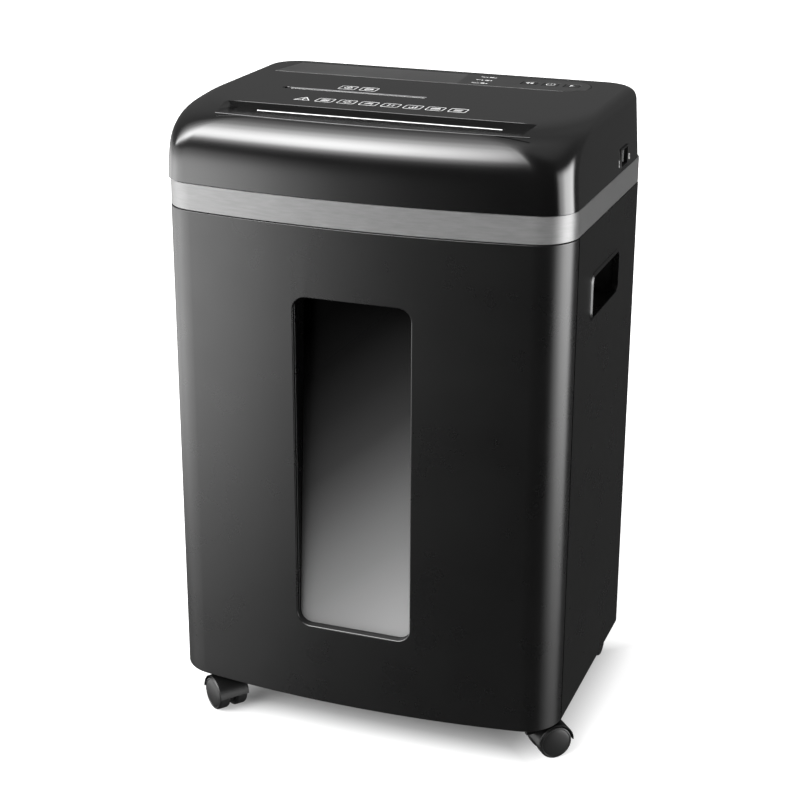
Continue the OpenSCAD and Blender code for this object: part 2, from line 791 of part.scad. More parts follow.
// Throat that leads a sheet from the slot to the cutters
module paper_chute() color(black_satin) difference() {
    paper_slot(shaft_z + 18, recess_floor_z - wall, paper_gap + 5, paper_w + 8);
    paper_slot(shaft_z, recess_floor_z, paper_gap, paper_w + 1);
    translate([paper_x - paper_w, paper_rear_y, shaft_z]) rotate([0, 90, 0])
        cylinder(r = disc_r + 0.8, h = 2 * paper_w);
    translate([paper_x - paper_w, paper_front_y, shaft_z]) rotate([0, 90, 0])
        cylinder(r = disc_r + 0.8, h = 2 * paper_w);
}

module cd_chute() color(black_satin) difference() {
    cd_slot(shaft_z + 16, top_z - wall, cd_gap + 5, cd_w + 8);
    cd_slot(shaft_z, top_z, cd_gap, cd_w + 1);
    for (y = [cd_front_y, cd_rear_y]) translate([cd_x - cd_w, y, shaft_z]) rotate([0, 90, 0])
        cylinder(r = cd_disc_r + 0.8, h = 2 * cd_w);
}

// Optical sensor that sees the sheet's edge in the throat
module paper_sensor() color(dark_grey) {
    translate([paper_x - 8, paper_y + paper_gap / 2 + 2.5, 550]) cube([16, 9, 9]);
    translate([paper_x - 5, paper_y + paper_gap / 2 + 11.4, 552]) cube([10, 5, 1.6]);
}

// Interlock switch on the deck, which the bin's tab holds closed
module bin_switch() color(dark_grey) {
    translate([60, -24, deck_z - 16]) cube([20, 10, 16]);
    translate([62, -21, deck_z - 17.5]) cube([12, 4, 1.6]);
}

// ---------- Pull-out bin ----------

// Leaning recess in (y, z): in front of the pane's plane moved back by back, grown at its ends by grow
module lean(back, grow) {
    slope = (window_d1 - window_d0) / (window_z1 - window_z0);
    z0 = window_z0 - grow;
    z1 = window_z1 + grow;
    y0 = -half_d + window_d0 - grow * slope + back;
    y1 = -half_d + window_d1 + grow * slope + back;
    polygon([[-half_d - 5, z0], [y0, z0], [y1, z1], [-half_d - 5, z1]]);
}

module window_box(grow, back) {
    intersection() {
        slab_x(-window_w / 2 - grow, window_w + 2 * grow) lean(back, grow);
        slab_y(-half_d - 6, -half_d + 60)
            round_rect(-window_w / 2 - grow, window_z0 - grow, window_w / 2 + grow, window_z1 + grow,
                window_r + grow);
    }
}

pane_t = 2.5;
ledge = 5;
front_z0 = cabinet_z + 0.6;
front_z1 = seam_z - seam;

// Bowed front with its wrapped corners and the leaning window surround
module bin_front() color(black_satin) difference() {
    union() {
        intersection() {
            plan_wall(0, wall, front_z0, front_z1);
            between_y(-body_d, bin_seam_y - seam / 2);
        }
        intersection() {
            window_box(wall, pane_t + wall);
            translate([0, 0, front_z0]) linear_extrude(front_z1 - front_z0) plan(wall / 2);
        }
        for (x = [-120, 120]) for (z = [80, 300]) intersection() {
            translate([x - 1.5, -half_d, z]) cube([3, half_d + tub_y0, 100]);
            translate([0, 0, z - 1]) linear_extrude(110) plan(wall / 2);
        }
    }
    window_box(0, 0);
    window_box(0.2, pane_t + eps);
    slab_y(-half_d - 1, -half_d + 70) round_rect(-window_w / 2 + ledge, window_z0 + ledge,
        window_w / 2 - ledge, window_z1 - ledge, window_r - 4);
}

// Smoked pane that leans back at its top
module window_pane() color([0.35, 0.35, 0.36, 0.6]) difference() {
    window_box(0.1, pane_t);
    window_box(2, 0);
}

// Open tub that catches the shreds, with a cut-out behind the window and two runners
module bin_tub() color(dark_grey) {
    difference() {
        translate([-tub_x, tub_y0, tub_z0]) cube([2 * tub_x, tub_y1 - tub_y0, tub_z1 - tub_z0]);
        translate([-tub_x + tub_wall, tub_y0 + tub_wall, tub_z0 + tub_wall])
            cube([2 * (tub_x - tub_wall), tub_y1 - tub_y0 - 2 * tub_wall, tub_z1]);
        slab_y(tub_y0 - 1, tub_y0 + tub_wall + 1) round_rect(-window_w / 2 + 2, window_z0 + 2,
            window_w / 2 - 2, window_z1 - 12, 8);
    }
    for (x = [-140, 137]) translate([x, tub_y0 + 10, base_top + clear])
        cube([3, tub_y1 - tub_y0 - 20, tub_z0 - base_top - clear + 1]);
}

// Narrow tray that hangs across the tub, under the disc and card cutter
module cd_tray() color(black_satin) difference() {
    union() {
        translate([-tub_x + tub_wall + 1, -26, 360]) cube([2 * (tub_x - tub_wall - 1), 54, tub_z1 - 359]);
        translate([-tub_x, -26, tub_z1]) cube([2 * tub_x, 54, 2]);
    }
    translate([-tub_x + tub_wall + 3, -24, 362]) cube([2 * (tub_x - tub_wall - 3), 50, 90]);
}

// ---------- Casters ----------

hood_r = 17.9;
hood_in = 16.7;
axle_r = 2;
collar_r = 9;

// Hooded fork with its stem and axle. The stem is at the origin and the fork trails along +X.
module caster_fork() color(black_satin) {
    translate([0, 0, 30]) cylinder(r = pin_r, h = cabinet_z + 17 - 30);
    translate([0, 0, 33]) cylinder(r = collar_r, h = cabinet_z - 0.6 - 33);
    slab_y(-2.2, 2.2) {
        translate([trail, wheel_r]) circle(12.5);
        translate([0, 20]) square([trail, 13]);
    }
    slab_y(-wheel_half_w + 0.8, wheel_half_w - 0.8) intersection() {
        difference() {
            translate([trail, wheel_r]) circle(hood_r);
            translate([trail, wheel_r]) circle(hood_in);
        }
        polygon([[-20, 14], [trail, wheel_r], [trail + 30, 18], [trail + 30, 60], [-20, 60]]);
    }
    translate([trail, wheel_half_w - 1.5, wheel_r]) rotate([90, 0, 0])
        cylinder(r = axle_r, h = 2 * wheel_half_w - 3);
}

// Pair of wheels on one axle, crowned and dished
module caster_wheels() color(black_gloss) translate([trail, 0, wheel_r]) rotate([90, 0, 0])
    for (s = [0, 1]) mirror([0, 0, s]) rotate_extrude()
        polygon([[axle_r + run_gap, 2.8], [wheel_r - 1.5, 2.8], [wheel_r, 4.5], [wheel_r, wheel_half_w - 2.5],
            [wheel_r - 1.6, wheel_half_w - 0.6], [wheel_r - 3, wheel_half_w],
            [axle_r + run_gap, wheel_half_w - 0.9]]);

module at_caster(k) {
    place = [[-stem_x, -stem_y, 0], [stem_x, -stem_y, 0], [-stem_x, stem_y, 0], [stem_x, stem_y, 0]];
    translate(place[k]) rotate(caster_dirs[k]) children();
}

module caster_fork_fl() { at_caster(0) caster_fork(); }
module caster_wheels_fl() { at_caster(0) caster_wheels(); }
module caster_fork_fr() { at_caster(1) caster_fork(); }
module caster_wheels_fr() { at_caster(1) caster_wheels(); }
module caster_fork_rl() { at_caster(2) caster_fork(); }
module caster_wheels_rl() { at_caster(2) caster_wheels(); }
module caster_fork_rr() { at_caster(3) caster_fork(); }
module caster_wheels_rr() { at_caster(3) caster_wheels(); }

base_tray();
side_panel_left();
side_panel_right();
back_panel();
grip_cup_left();
grip_cup_right();
bin_guides();
caster_sockets();
head_base();
trim_band();
head_cover();
control_panel();
indicator_lenses();
control_board();
power_board();
switch_housing();
chassis_plate_left();
chassis_plate_right();
tie_rods();
shaft_bushes();
gear_pins();
motor_can();
comb_front();
comb_rear();
paper_chute();
cd_chute();
paper_sensor();
bin_switch();
cord_gland();
head_screws();
paper_cutter_rear();
paper_gear_rear();
paper_cutter_front();
paper_gear_front();
cd_cutter_front();
cd_gear_front();
cd_cutter_rear();
cd_gear_rear();
idler_gear();
reduction_gear();
motor_rotor();
motor_pinion();
motor_fan();
bin_front();
window_pane();
bin_tub();
cd_tray();
power_rocker();
button_reverse();
button_power();
button_forward();
caster_fork_fl();
caster_wheels_fl();
caster_fork_fr();
caster_wheels_fr();
caster_fork_rl();
caster_wheels_rl();
caster_fork_rr();
caster_wheels_rr();
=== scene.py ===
"""Looks of the pull-out-bin paper shredder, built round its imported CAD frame.

Metres, +Z up, front towards -Y. Shells that show are lofted or cut here and replace their CAD
solids; the mechanism keeps its CAD solids and gets materials.
"""

import json
import math

import bmesh
import bpy
from mathutils import Euler, Matrix, Vector

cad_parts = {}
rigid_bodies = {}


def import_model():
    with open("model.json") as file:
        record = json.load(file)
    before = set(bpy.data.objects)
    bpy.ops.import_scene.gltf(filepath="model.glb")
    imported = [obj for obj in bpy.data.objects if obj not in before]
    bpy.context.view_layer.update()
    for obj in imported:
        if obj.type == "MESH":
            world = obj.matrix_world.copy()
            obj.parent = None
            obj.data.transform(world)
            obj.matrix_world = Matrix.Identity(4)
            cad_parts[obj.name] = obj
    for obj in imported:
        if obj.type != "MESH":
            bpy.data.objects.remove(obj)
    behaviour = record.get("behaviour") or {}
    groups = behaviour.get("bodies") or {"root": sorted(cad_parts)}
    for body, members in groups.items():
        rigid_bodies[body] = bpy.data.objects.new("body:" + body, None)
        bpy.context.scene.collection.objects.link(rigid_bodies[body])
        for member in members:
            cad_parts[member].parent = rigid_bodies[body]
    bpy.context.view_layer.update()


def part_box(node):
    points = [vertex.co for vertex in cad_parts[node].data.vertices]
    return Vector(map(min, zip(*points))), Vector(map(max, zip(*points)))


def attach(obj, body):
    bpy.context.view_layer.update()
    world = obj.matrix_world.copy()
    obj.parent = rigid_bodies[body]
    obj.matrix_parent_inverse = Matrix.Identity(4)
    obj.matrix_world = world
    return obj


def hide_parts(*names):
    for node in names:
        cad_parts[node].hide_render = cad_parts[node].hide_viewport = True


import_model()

MM = 0.001

# ---------- Driving dimensions: the first ones come from the frame ----------

cover_lo, cover_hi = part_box("head_cover")
band_lo, band_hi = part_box("trim_band")
front_lo, front_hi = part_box("bin_front")
side_lo, side_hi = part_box("side_panel_right")
back_lo, back_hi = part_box("back_panel")
strip_lo, strip_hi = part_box("control_panel")
tub_lo, tub_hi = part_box("bin_tub")
tray_lo, tray_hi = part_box("cd_tray")
cup_lo, cup_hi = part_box("grip_cup_right")
gland_lo, gland_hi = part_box("cord_gland")
bezel_lo, bezel_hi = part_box("switch_housing")

HALF_W = cover_hi.x
HALF_D = cover_hi.y
TOP = cover_hi.z - 0.5 * MM
HEAD_Z = band_hi.z + 0.5 * MM
WALL = 3 * MM
FRONT_R = 1.004
ARC_Y = FRONT_R - HALF_D
CORNER_R = 36.5 * MM
BACK_CORNER_R = 16 * MM

HEAD_ROLL = 56 * MM
ROLL_POWER = 3.6
SIDE_ROLL = 10 * MM
SIDE_DRAFT = 0.067
HEAD_CORNER_R = 31 * MM

TRAY_Z = 573 * MM
TRAY_FRONT_Z = 575 * MM
TRAY_BACK_Y = -71 * MM
TRAY_FRONT_Y = -112 * MM
TRAY_X0, TRAY_X1 = -139 * MM, 142 * MM
TRAY_END_SLOPE = 1.9
SLOT_X0, SLOT_X1 = -108 * MM, 114 * MM
SLOT_Y0, SLOT_Y1 = -77.6 * MM, -72.4 * MM
DISC_X0, DISC_X1 = -114 * MM, 19 * MM
DISC_Y0, DISC_Y1 = -1.4 * MM, 3.4 * MM

STRIP_X0, STRIP_X1 = -157 * MM, 143 * MM
STRIP_Y0, STRIP_Y1 = 71 * MM, 119 * MM
STRIP_DEPTH = 1.6 * MM
STRIP_TOP = cover_hi.z - 0.15 * MM
KEY_X = {"reverse": 85 * MM, "power": 105 * MM, "forward": 125 * MM}
KEY_Y = 97 * MM
KEY = 14 * MM
LAMPS = [(x * MM, y * MM) for x in (40.5, 49) for y in (81, 95.5, 110)]

WIN_W = 108 * MM
WIN_Z0, WIN_Z1 = 115 * MM, 427 * MM
WIN_R = 12 * MM
WIN_D0, WIN_D1 = 8 * MM, 28 * MM
PANE_T = 2.5 * MM
LEDGE = 5 * MM

GRIP_Y0, GRIP_Y1 = -42 * MM, 55 * MM
GRIP_Z0, GRIP_Z1 = 403 * MM, 446 * MM
GRIP_R = 9 * MM

ROCKER_Y, ROCKER_Z = 62 * MM, 526.5 * MM
ROCKER_W, ROCKER_H = 22 * MM, 14.5 * MM
ROCKER_TILT = 9

STEM_X, STEM_Y = 157 * MM, 95 * MM
TRAIL = 21 * MM
WHEEL_R = 16 * MM
CASTERS = {"fl": (-1, -1, -38), "fr": (1, -1, 42), "rl": (-1, 1, -138), "rr": (1, 1, 90)}

# ---------- Mesh helpers ----------


def link(obj):
    bpy.context.scene.collection.objects.link(obj)
    return obj


def mesh_object(name, verts, faces):
    mesh = bpy.data.meshes.new(name)
    mesh.from_pydata([tuple(v) for v in verts], [], faces)
    return recalc(link(bpy.data.objects.new(name, mesh)))


def edit(obj, change):
    """Runs change on the object's mesh as a bmesh."""
    bm = bmesh.new()
    bm.from_mesh(obj.data)
    change(bm)
    bm.to_mesh(obj.data)
    bm.free()
    return obj


def recalc(obj):
    return edit(obj, lambda bm: bmesh.ops.recalc_face_normals(bm, faces=bm.faces))


def place(obj, matrix):
    obj.data.transform(matrix)
    return obj


def apply_all(obj):
    """Bakes the object's modifiers into its mesh."""
    graph = bpy.context.evaluated_depsgraph_get()
    graph.update()
    mesh = bpy.data.meshes.new_from_object(obj.evaluated_get(graph))
    old = obj.data
    obj.modifiers.clear()
    obj.data = mesh
    bpy.data.meshes.remove(old)
    return obj


def smooth(obj, angle=32):
    """Smooth faces, with edges sharper than the angle kept sharp, and normals weighted by area."""
    limit = math.radians(angle)

    def change(bm):
        for face in bm.faces:
            face.smooth = True
        for edge in bm.edges:
            edge.smooth = len(edge.link_faces) == 2 and edge.calc_face_angle(0) < limit

    edit(obj, change)
    mod = obj.modifiers.new("normals", "WEIGHTED_NORMAL")
    mod.keep_sharp = True
    return obj


def bevel(obj, width, segments=2, angle=40):
    """Rounds every edge sharper than the angle."""
    mod = obj.modifiers.new("bevel", "BEVEL")
    mod.width = width
    mod.segments = segments
    mod.limit_method = "ANGLE"
    mod.angle_limit = math.radians(angle)
    return apply_all(obj)


def combine(obj, operation, *tools):
    for tool in tools:
        mod = obj.modifiers.new("combine", "BOOLEAN")
        mod.operation = operation
        mod.solver = "EXACT"
        mod.object = tool
        apply_all(obj)
        bpy.data.objects.remove(tool, do_unlink=True)
    return obj


def cut(obj, *tools):
    return combine(obj, "DIFFERENCE", *tools)


def loft(name, rings, closed=False):
    """Joins rings of equal length with quads; the ends are capped, or joined when closed."""
    n = len(rings[0])
    verts = [p for ring in rings for p in ring]
    faces = []
    count = len(rings)
    for r in range(count if closed else count - 1):
        for k in range(n):
            a, b = r * n + k, r * n + (k + 1) % n
            c, d = ((r + 1) % count) * n + (k + 1) % n, ((r + 1) % count) * n + k
            faces.append((a, b, c, d))
    if not closed:
        faces.append(tuple(reversed(range(n))))
        faces.append(tuple(range((count - 1) * n, count * n)))
    return mesh_object(name, verts, faces)


def flat(u, v, w):
    return (u, v, w)


def along_x(u, v, w):
    return (w, u, v)


def along_y(u, v, w):
    return (u, w, v)


def stack(name, levels, axes=flat):
    """Solid from (outline, height) levels, each outline a list of 2D points."""
    return loft(name, [[Vector(axes(u, v, w)) for u, v in outline] for outline, w in levels])


def prism(name, outline, w0, w1, axes=flat):
    return stack(name, [(outline, w0), (outline, w1)], axes)


def arc(cx, cy, r, a0, a1, n):
    return [(cx + r * math.cos(math.radians(a0 + (a1 - a0) * k / n)),
             cy + r * math.sin(math.radians(a0 + (a1 - a0) * k / n))) for k in range(n + 1)]


def rounded(x0, y0, x1, y1, r, n=8):
    """Outline of a rounded rectangle, anticlockwise."""
    r = max(min(r, (x1 - x0) / 2 - 1e-5, (y1 - y0) / 2 - 1e-5), 0.05 * MM)
    return (arc(x1 - r, y0 + r, r, -90, 0, n) + arc(x1 - r, y1 - r, r, 0, 90, n)
            + arc(x0 + r, y1 - r, r, 90, 180, n) + arc(x0 + r, y0 + r, r, 180, 270, n))


def rect_of(x0, y0, x1, y1, r, n=8):
    """Function that gives the rounded rectangle's outline grown by g."""
    return lambda g: rounded(x0 - g, y0 - g, x1 + g, y1 + g, r + g, n)


def sunk(name, outline, w0, w1, flare, axes=flat, beyond=4 * MM, steps=4):
    """Cutter from w0 to the surface at w1, where it flares to leave a rounded edge."""
    sign = 1 if w1 > w0 else -1
    levels = [(outline(0), w0)]
    for k in range(steps + 1):
        a = math.pi / 2 * k / steps
        levels.append((outline(flare * (1 - math.cos(a))), w1 - sign * flare * (1 - math.sin(a))))
    levels.append((outline(flare), w1 + sign * beyond))
    return stack(name, levels, axes)


def turned(name, profile, steps=48, sweep=360, start=0):
    """Closed (radius, height) profile revolved about Z, whole or as a sector from start."""
    whole = sweep == 360
    count = steps if whole else steps + 1
    rings = []
    for k in range(count):
        a = math.radians(start + sweep * k / steps)
        rings.append([Vector((r * math.cos(a), r * math.sin(a), z)) for r, z in profile])
    obj = loft(name, rings, closed=whole)

    def change(bm):
        bmesh.ops.remove_doubles(bm, verts=bm.verts, dist=1e-6)
        loose = [e for e in bm.edges if not e.link_faces]
        bmesh.ops.delete(bm, geom=loose, context="EDGES")
        bmesh.ops.recalc_face_normals(bm, faces=bm.faces)

    return edit(obj, change)


def rod(name, r, z0, z1, chamfer=0.3 * MM, steps=32):
    return turned(name, [(0, z0), (r - chamfer, z0), (r, z0 + chamfer), (r, z1 - chamfer), (r - chamfer, z1),
                         (0, z1)], steps)


def join(name, objects):
    """One object from several, keeping their separate shells."""
    bm = bmesh.new()
    for obj in objects:
        bm.from_mesh(obj.data)
        bpy.data.objects.remove(obj, do_unlink=True)
    mesh = bpy.data.meshes.new(name)
    bm.to_mesh(mesh)
    bm.free()
    return link(bpy.data.objects.new(name, mesh))


def box(name, lo, hi):
    return prism(name, [(lo[0], lo[1]), (hi[0], lo[1]), (hi[0], hi[1]), (lo[0], hi[1])], lo[2], hi[2])


# ---------- Materials ----------


class Nodes:
    """Short way to wire a procedural material."""

    def __init__(self, name):
        self.material = bpy.data.materials.new(name)
        self.material.use_nodes = True
        self.tree = self.material.node_tree
        self.shader = self.tree.nodes["Principled BSDF"]
        self.coords = self.tree.nodes.new("ShaderNodeTexCoord")

    def node(self, kind, **inputs):
        made = self.tree.nodes.new(kind)
        for key, value in inputs.items():
            made.inputs[key.replace("_", " ")].default_value = value
        return made

    def wire(self, out, into):
        self.tree.links.new(out, into)

    def noise(self, scale, detail=4.0, roughness=0.55, stretch=(1, 1, 1)):
        tex = self.node("ShaderNodeTexNoise", Scale=scale, Detail=detail, Roughness=roughness)
        mapping = self.node("ShaderNodeMapping", Scale=stretch)
        self.wire(self.coords.outputs["Object"], mapping.inputs["Vector"])
        self.wire(mapping.outputs["Vector"], tex.inputs["Vector"])
        return tex.outputs["Fac"]

    def ramp(self, fac, stops):
        made = self.node("ShaderNodeValToRGB")
        ends = made.color_ramp.elements
        ends[0].position, ends[0].color = stops[0][0], (*stops[0][1], 1)
        ends[1].position, ends[1].color = stops[-1][0], (*stops[-1][1], 1)
        for position, colour in stops[1:-1]:
            ends.new(position).color = (*colour, 1)
        self.wire(fac, made.inputs["Fac"])
        return made.outputs["Color"]

    def spread(self, fac, low, high, lo_in=0.0, hi_in=1.0):
        made = self.node("ShaderNodeMapRange", From_Min=lo_in, From_Max=hi_in, To_Min=low, To_Max=high)
        self.wire(fac, made.inputs["Value"])
        return made.outputs["Result"]

    def bump(self, height, strength, distance=0.1 * MM):
        made = self.node("ShaderNodeBump", Strength=strength, Distance=distance)
        self.wire(height, made.inputs["Height"])
        self.wire(made.outputs["Normal"], self.shader.inputs["Normal"])

    def colour(self, socket):
        self.wire(socket, self.shader.inputs["Base Color"])

    def rough(self, socket):
        self.wire(socket, self.shader.inputs["Roughness"])

    def set(self, **values):
        for key, value in values.items():
            self.shader.inputs[key.replace("_", " ")].default_value = value


def grey(v):
    return (v, v, v)


def scaled(colour, share):
    return tuple(min(c * share, 1) for c in colour)


def plastic(name, base, rough, grain=900.0, bump=0.12, vary=0.2, **extra):
    """Moulded plastic: slow tone drift, uneven roughness and a fine mould grain."""
    m = Nodes(name)
    m.colour(m.ramp(m.noise(9.0, 3.0), [(0.3, scaled(base, 1 - vary)), (0.7, scaled(base, 1 + vary))]))
    m.rough(m.spread(m.noise(26.0, 5.0), rough * 0.88, rough * 1.12))
    m.bump(m.noise(grain, 2.0), bump)
    for key, value in extra.items():
        m.shader.inputs[key.replace("_", " ")].default_value = value
    return m.material


def metal(name, base, rough, brushed=(1, 1, 1), bump=0.1):
    """Bare metal, with grain drawn out across the stretch."""
    m = Nodes(name)
    grain = m.noise(60.0, 6.0, 0.6, brushed)
    m.colour(m.ramp(grain, [(0.3, scaled(base, 0.88)), (0.7, scaled(base, 1.08))]))
    m.rough(m.spread(grain, rough * 0.8, rough * 1.25))
    m.bump(grain, bump)
    m.set(Metallic=1.0)
    return m.material


def smoked_pane():
    """Smoked sheet with painted light and shade: its tint runs from nearly black at the top left to pale at the bottom
    right.
    """
    m = Nodes("smoked_pane")
    split = m.node("ShaderNodeSeparateXYZ")
    m.wire(m.coords.outputs["Object"], split.inputs["Vector"])
    # Painted light and shade: the tint grades down the pane and across it
    down = m.spread(split.outputs["Z"], 0.0, 0.77, WIN_Z1, WIN_Z0)
    across = m.spread(split.outputs["X"], 0.0, 0.23, -WIN_W / 2, WIN_W / 2)
    total = m.node("ShaderNodeMath")
    m.wire(down, total.inputs[0])
    m.wire(across, total.inputs[1])
    stops = [(0.1, grey(0.0)), (0.22, grey(0.002)), (0.34, grey(0.008)), (0.46, grey(0.018)), (0.56, grey(0.04)),
             (0.64, grey(0.065)), (0.75, grey(0.1)), (0.87, grey(0.15)), (1.0, grey(0.2))]
    m.colour(m.ramp(total.outputs["Value"], stops))
    m.rough(m.spread(m.noise(40.0, 3.0), 0.2, 0.28))
    m.bump(m.noise(500.0, 2.0), 0.03)
    m.shader.inputs["Specular IOR Level"].default_value = 0.06
    return m.material


def print_ink():
    m = Nodes("white_print")
    m.colour(m.ramp(m.noise(400.0, 2.0), [(0.35, grey(0.62)), (0.7, grey(0.8))]))
    m.rough(m.spread(m.noise(90.0), 0.4, 0.6))
    return m.material


def board_material():
    m = Nodes("circuit_board")
    tex = m.node("ShaderNodeTexVoronoi", Scale=260.0)
    m.wire(m.coords.outputs["Object"], tex.inputs["Vector"])
    m.colour(m.ramp(tex.outputs["Distance"], [(0.1, (0.02, 0.12, 0.05)), (0.5, (0.03, 0.2, 0.09))]))
    m.rough(m.spread(m.noise(200.0), 0.3, 0.5))
    m.bump(tex.outputs["Distance"], 0.2)
    return m.material


def lamp_material():
    m = Nodes("lamp_lens")
    m.colour(m.ramp(m.noise(700.0), [(0.3, grey(0.65)), (0.7, grey(0.8))]))
    m.rough(m.spread(m.noise(200.0), 0.1, 0.2))
    return m.material


MATS = {
    "gloss_black": plastic("gloss_black", grey(0.002), 0.17, 700.0, 0.02),
    "throat_matte_painted_shade": plastic("throat_matte_painted_shade", grey(0.002), 0.6, 700.0, 0.1),
    "satin_black": plastic("satin_black", grey(0.0025), 0.28, 1300.0, 0.1),
    "silver": metal("silver_trim", grey(0.23), 0.33, (1.0, 1.0, 9.0), 0.02),
    "strip_grey": plastic("strip_grey", grey(0.055), 0.4, 1100.0, 0.1),
    "strip_painted_shade": plastic("strip_painted_shade", grey(0.034), 0.38, 1100.0, 0.1),
    "key_grey": plastic("key_grey", grey(0.02), 0.34, 1200.0, 0.08),
    "grey_plastic": plastic("grey_plastic", grey(0.022), 0.5, 600.0, 0.25),
    "inner_black": plastic("inner_black", grey(0.006), 0.55, 500.0, 0.3),
    "slot_lip_painted_highlight": metal("slot_lip_painted_highlight", grey(0.6), 0.3, (30.0, 1.0, 1.0), 0.02),
    "steel": metal("zinc_steel", (0.6, 0.61, 0.62), 0.33, (1.0, 20.0, 20.0)),
    "cutter_steel": metal("cutter_steel", (0.42, 0.42, 0.43), 0.3, (8.0, 1.0, 1.0), 0.2),
    "bronze": metal("bronze", (0.62, 0.4, 0.2), 0.4),
    "copper": metal("copper", (0.7, 0.36, 0.2), 0.35),
    "nylon": plastic("nylon", (0.72, 0.7, 0.62), 0.45, 500.0, 0.2, 0.05),
    "caster_black": plastic("caster_black", grey(0.003), 0.45, 1000.0, 0.2),
    "wheel_black": plastic("wheel_black", grey(0.007), 0.4, 900.0, 0.15),
    "print": print_ink(),
    "pane": smoked_pane(),
    "board": board_material(),
    "lens": lamp_material(),
}


def set_shader(mat, socket, value):
    MATS[mat].node_tree.nodes["Principled BSDF"].inputs[socket].default_value = value


set_shader("gloss_black", "Coat Weight", 0.9)
set_shader("gloss_black", "Coat Roughness", 0.16)
set_shader("satin_black", "Specular IOR Level", 0.9)
set_shader("silver", "Metallic", 0.6)
set_shader("silver", "Specular IOR Level", 1.0)
set_shader("throat_matte_painted_shade", "Specular IOR Level", 0.15)
set_shader("inner_black", "Specular IOR Level", 0.35)


def give(obj, mat, body, replaces=()):
    """Gives a piece its material and its place in the frame."""
    obj.data.materials.clear()
    obj.data.materials.append(MATS[mat])
    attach(obj, body)
    if replaces:
        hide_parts(*replaces)
    return obj


# ---------- Body outline ----------


def plan_ring(z, front=0.0, side=0.0, back=0.0, corner=CORNER_R, back_corner=BACK_CORNER_R):
    """Closed ring at height z: the body's outline with each side moved inwards, anticlockwise."""
    n_front, n_corner, n_side, n_back_corner, n_back = 28, 14, 6, 8, 8
    hw, yb, bow = HALF_W - side, HALF_D - back, FRONT_R - front
    rc, rb = max(corner, 0.2 * MM), max(back_corner, 0.2 * MM)
    cx = hw - rc
    reach = bow - rc
    cy = ARC_Y - math.sqrt(reach * reach - cx * cx)
    swing = math.degrees(math.asin(cx / reach))
    pts = arc(0, ARC_Y, bow, -90 - swing, -90 + swing, n_front)[:-1]
    pts += arc(cx, cy, rc, -90 + swing, 0, n_corner)
    pts += [(hw, cy + (yb - rb - cy) * k / n_side) for k in range(1, n_side)]
    pts += arc(hw - rb, yb - rb, rb, 0, 90, n_back_corner)
    pts += [((hw - rb) * (1 - 2 * k / n_back), yb) for k in range(1, n_back)]
    pts += arc(-hw + rb, yb - rb, rb, 90, 180, n_back_corner)
    pts += [(-hw, yb - rb + (cy - yb + rb) * k / n_side) for k in range(1, n_side)]
    pts += arc(-cx, cy, rc, 180, 270 - swing, n_corner)[:-1]
    return [Vector((x, y, z)) for x, y in pts]


def inset_ring(z, i):
    return plan_ring(z, i, i, i, CORNER_R - i, BACK_CORNER_R - i)


def roll(h, r, power=2.0):
    """Inset of a rolled edge of radius r at height h above where it starts."""
    if h <= 0:
        return 0.0
    return r - r * max(1 - (h / r) ** power, 0) ** (1 / power)


# ---------- Head ----------


def head_ring(z, i=0.0):
    """Outline of the head at height z, moved inwards by i."""
    top = TOP - i
    front_roll, side_roll, back_roll = HEAD_ROLL - i, SIDE_ROLL - i, 5 * MM - i * 0.9
    rolled = roll(z - top + front_roll, front_roll, ROLL_POWER)
    side = i + SIDE_DRAFT * (z - HEAD_Z) + roll(z - top + side_roll, side_roll)
    back = i + roll(z - top + back_roll, back_roll)
    grown = min(3 * rolled, 60 * MM + 0.6 * (rolled - 20 * MM))
    return plan_ring(z, i + rolled, side, back, HEAD_CORNER_R - i * 0.9 + grown, 24 * MM - i)


def head_solid(name, i, z0):
    top = TOP - i
    start = top - (HEAD_ROLL - i)
    n = 28
    levels = [z0, (z0 + start) / 2] + [start + (top - start) * math.sin(math.pi / 2 * k / n) for k in range(n + 1)]
    return loft(name, [head_ring(z, i) for z in levels])


def tray_floor(y):
    """Height of the sunk feed tray: level behind the slot and rising towards the front."""
    start = (SLOT_Y0 + SLOT_Y1) / 2
    rise = (TRAY_FRONT_Z - TRAY_Z) / (start - TRAY_FRONT_Y)
    return TRAY_Z + max(start - y, 0) * rise


def tray_cutter(g=0.0):
    """Space over the feed tray, with ends that splay forwards and slope down to the floor."""
    rings = []
    for y in (TRAY_BACK_Y + g, (SLOT_Y0 + SLOT_Y1) / 2, TRAY_FRONT_Y, -HALF_D - 6 * MM):
        splay = (TRAY_BACK_Y - min(y, TRAY_BACK_Y)) * 0.11
        lo, hi = TRAY_X0 - splay - g, TRAY_X1 + splay * 0.7 + g
        floor = tray_floor(y) - g
        end = max(TOP - tray_floor(y), 0.5 * MM) * TRAY_END_SLOPE
        over = TOP + 4 * MM
        section = [(lo + end, floor), (hi - end, floor), (hi, TOP), (hi + 3 * MM, over), (lo - 3 * MM, over),
                   (lo, TOP)]
        rings.append([(x, y, z) for x, z in section])
    return loft("tray_cutter", rings)


def tray_back_lip():
    """Rounds the top edge of the tray's back wall."""
    r = 0.35 * MM
    profile = [(TRAY_BACK_Y - r, TOP - r), (TRAY_BACK_Y, TOP - r)]
    profile += [(TRAY_BACK_Y + r - r * math.cos(math.radians(a)), TOP - r + r * math.sin(math.radians(a)))
                for a in (22.5, 45, 67.5, 90)]
    profile += [(TRAY_BACK_Y + r, TOP + r), (TRAY_BACK_Y - r, TOP + r)]
    return prism("tray_back_lip", profile, TRAY_X0 + 1 * MM, TRAY_X1 - 1 * MM, along_x)


def strip_outline(inset):
    """Outline of the control strip: its left end is cut square and its right end is round."""
    def outline(g):
        i = inset - g
        r = (STRIP_Y1 - STRIP_Y0) / 2 - i
        c = (STRIP_Y0 + STRIP_Y1) / 2
        return arc(STRIP_X1 - i - r, c, r, -90, 90, 24) + [(STRIP_X0 + i + 8 * MM, STRIP_Y1 - i),
                                                           (STRIP_X0 + i, STRIP_Y0 + i)]
    return outline


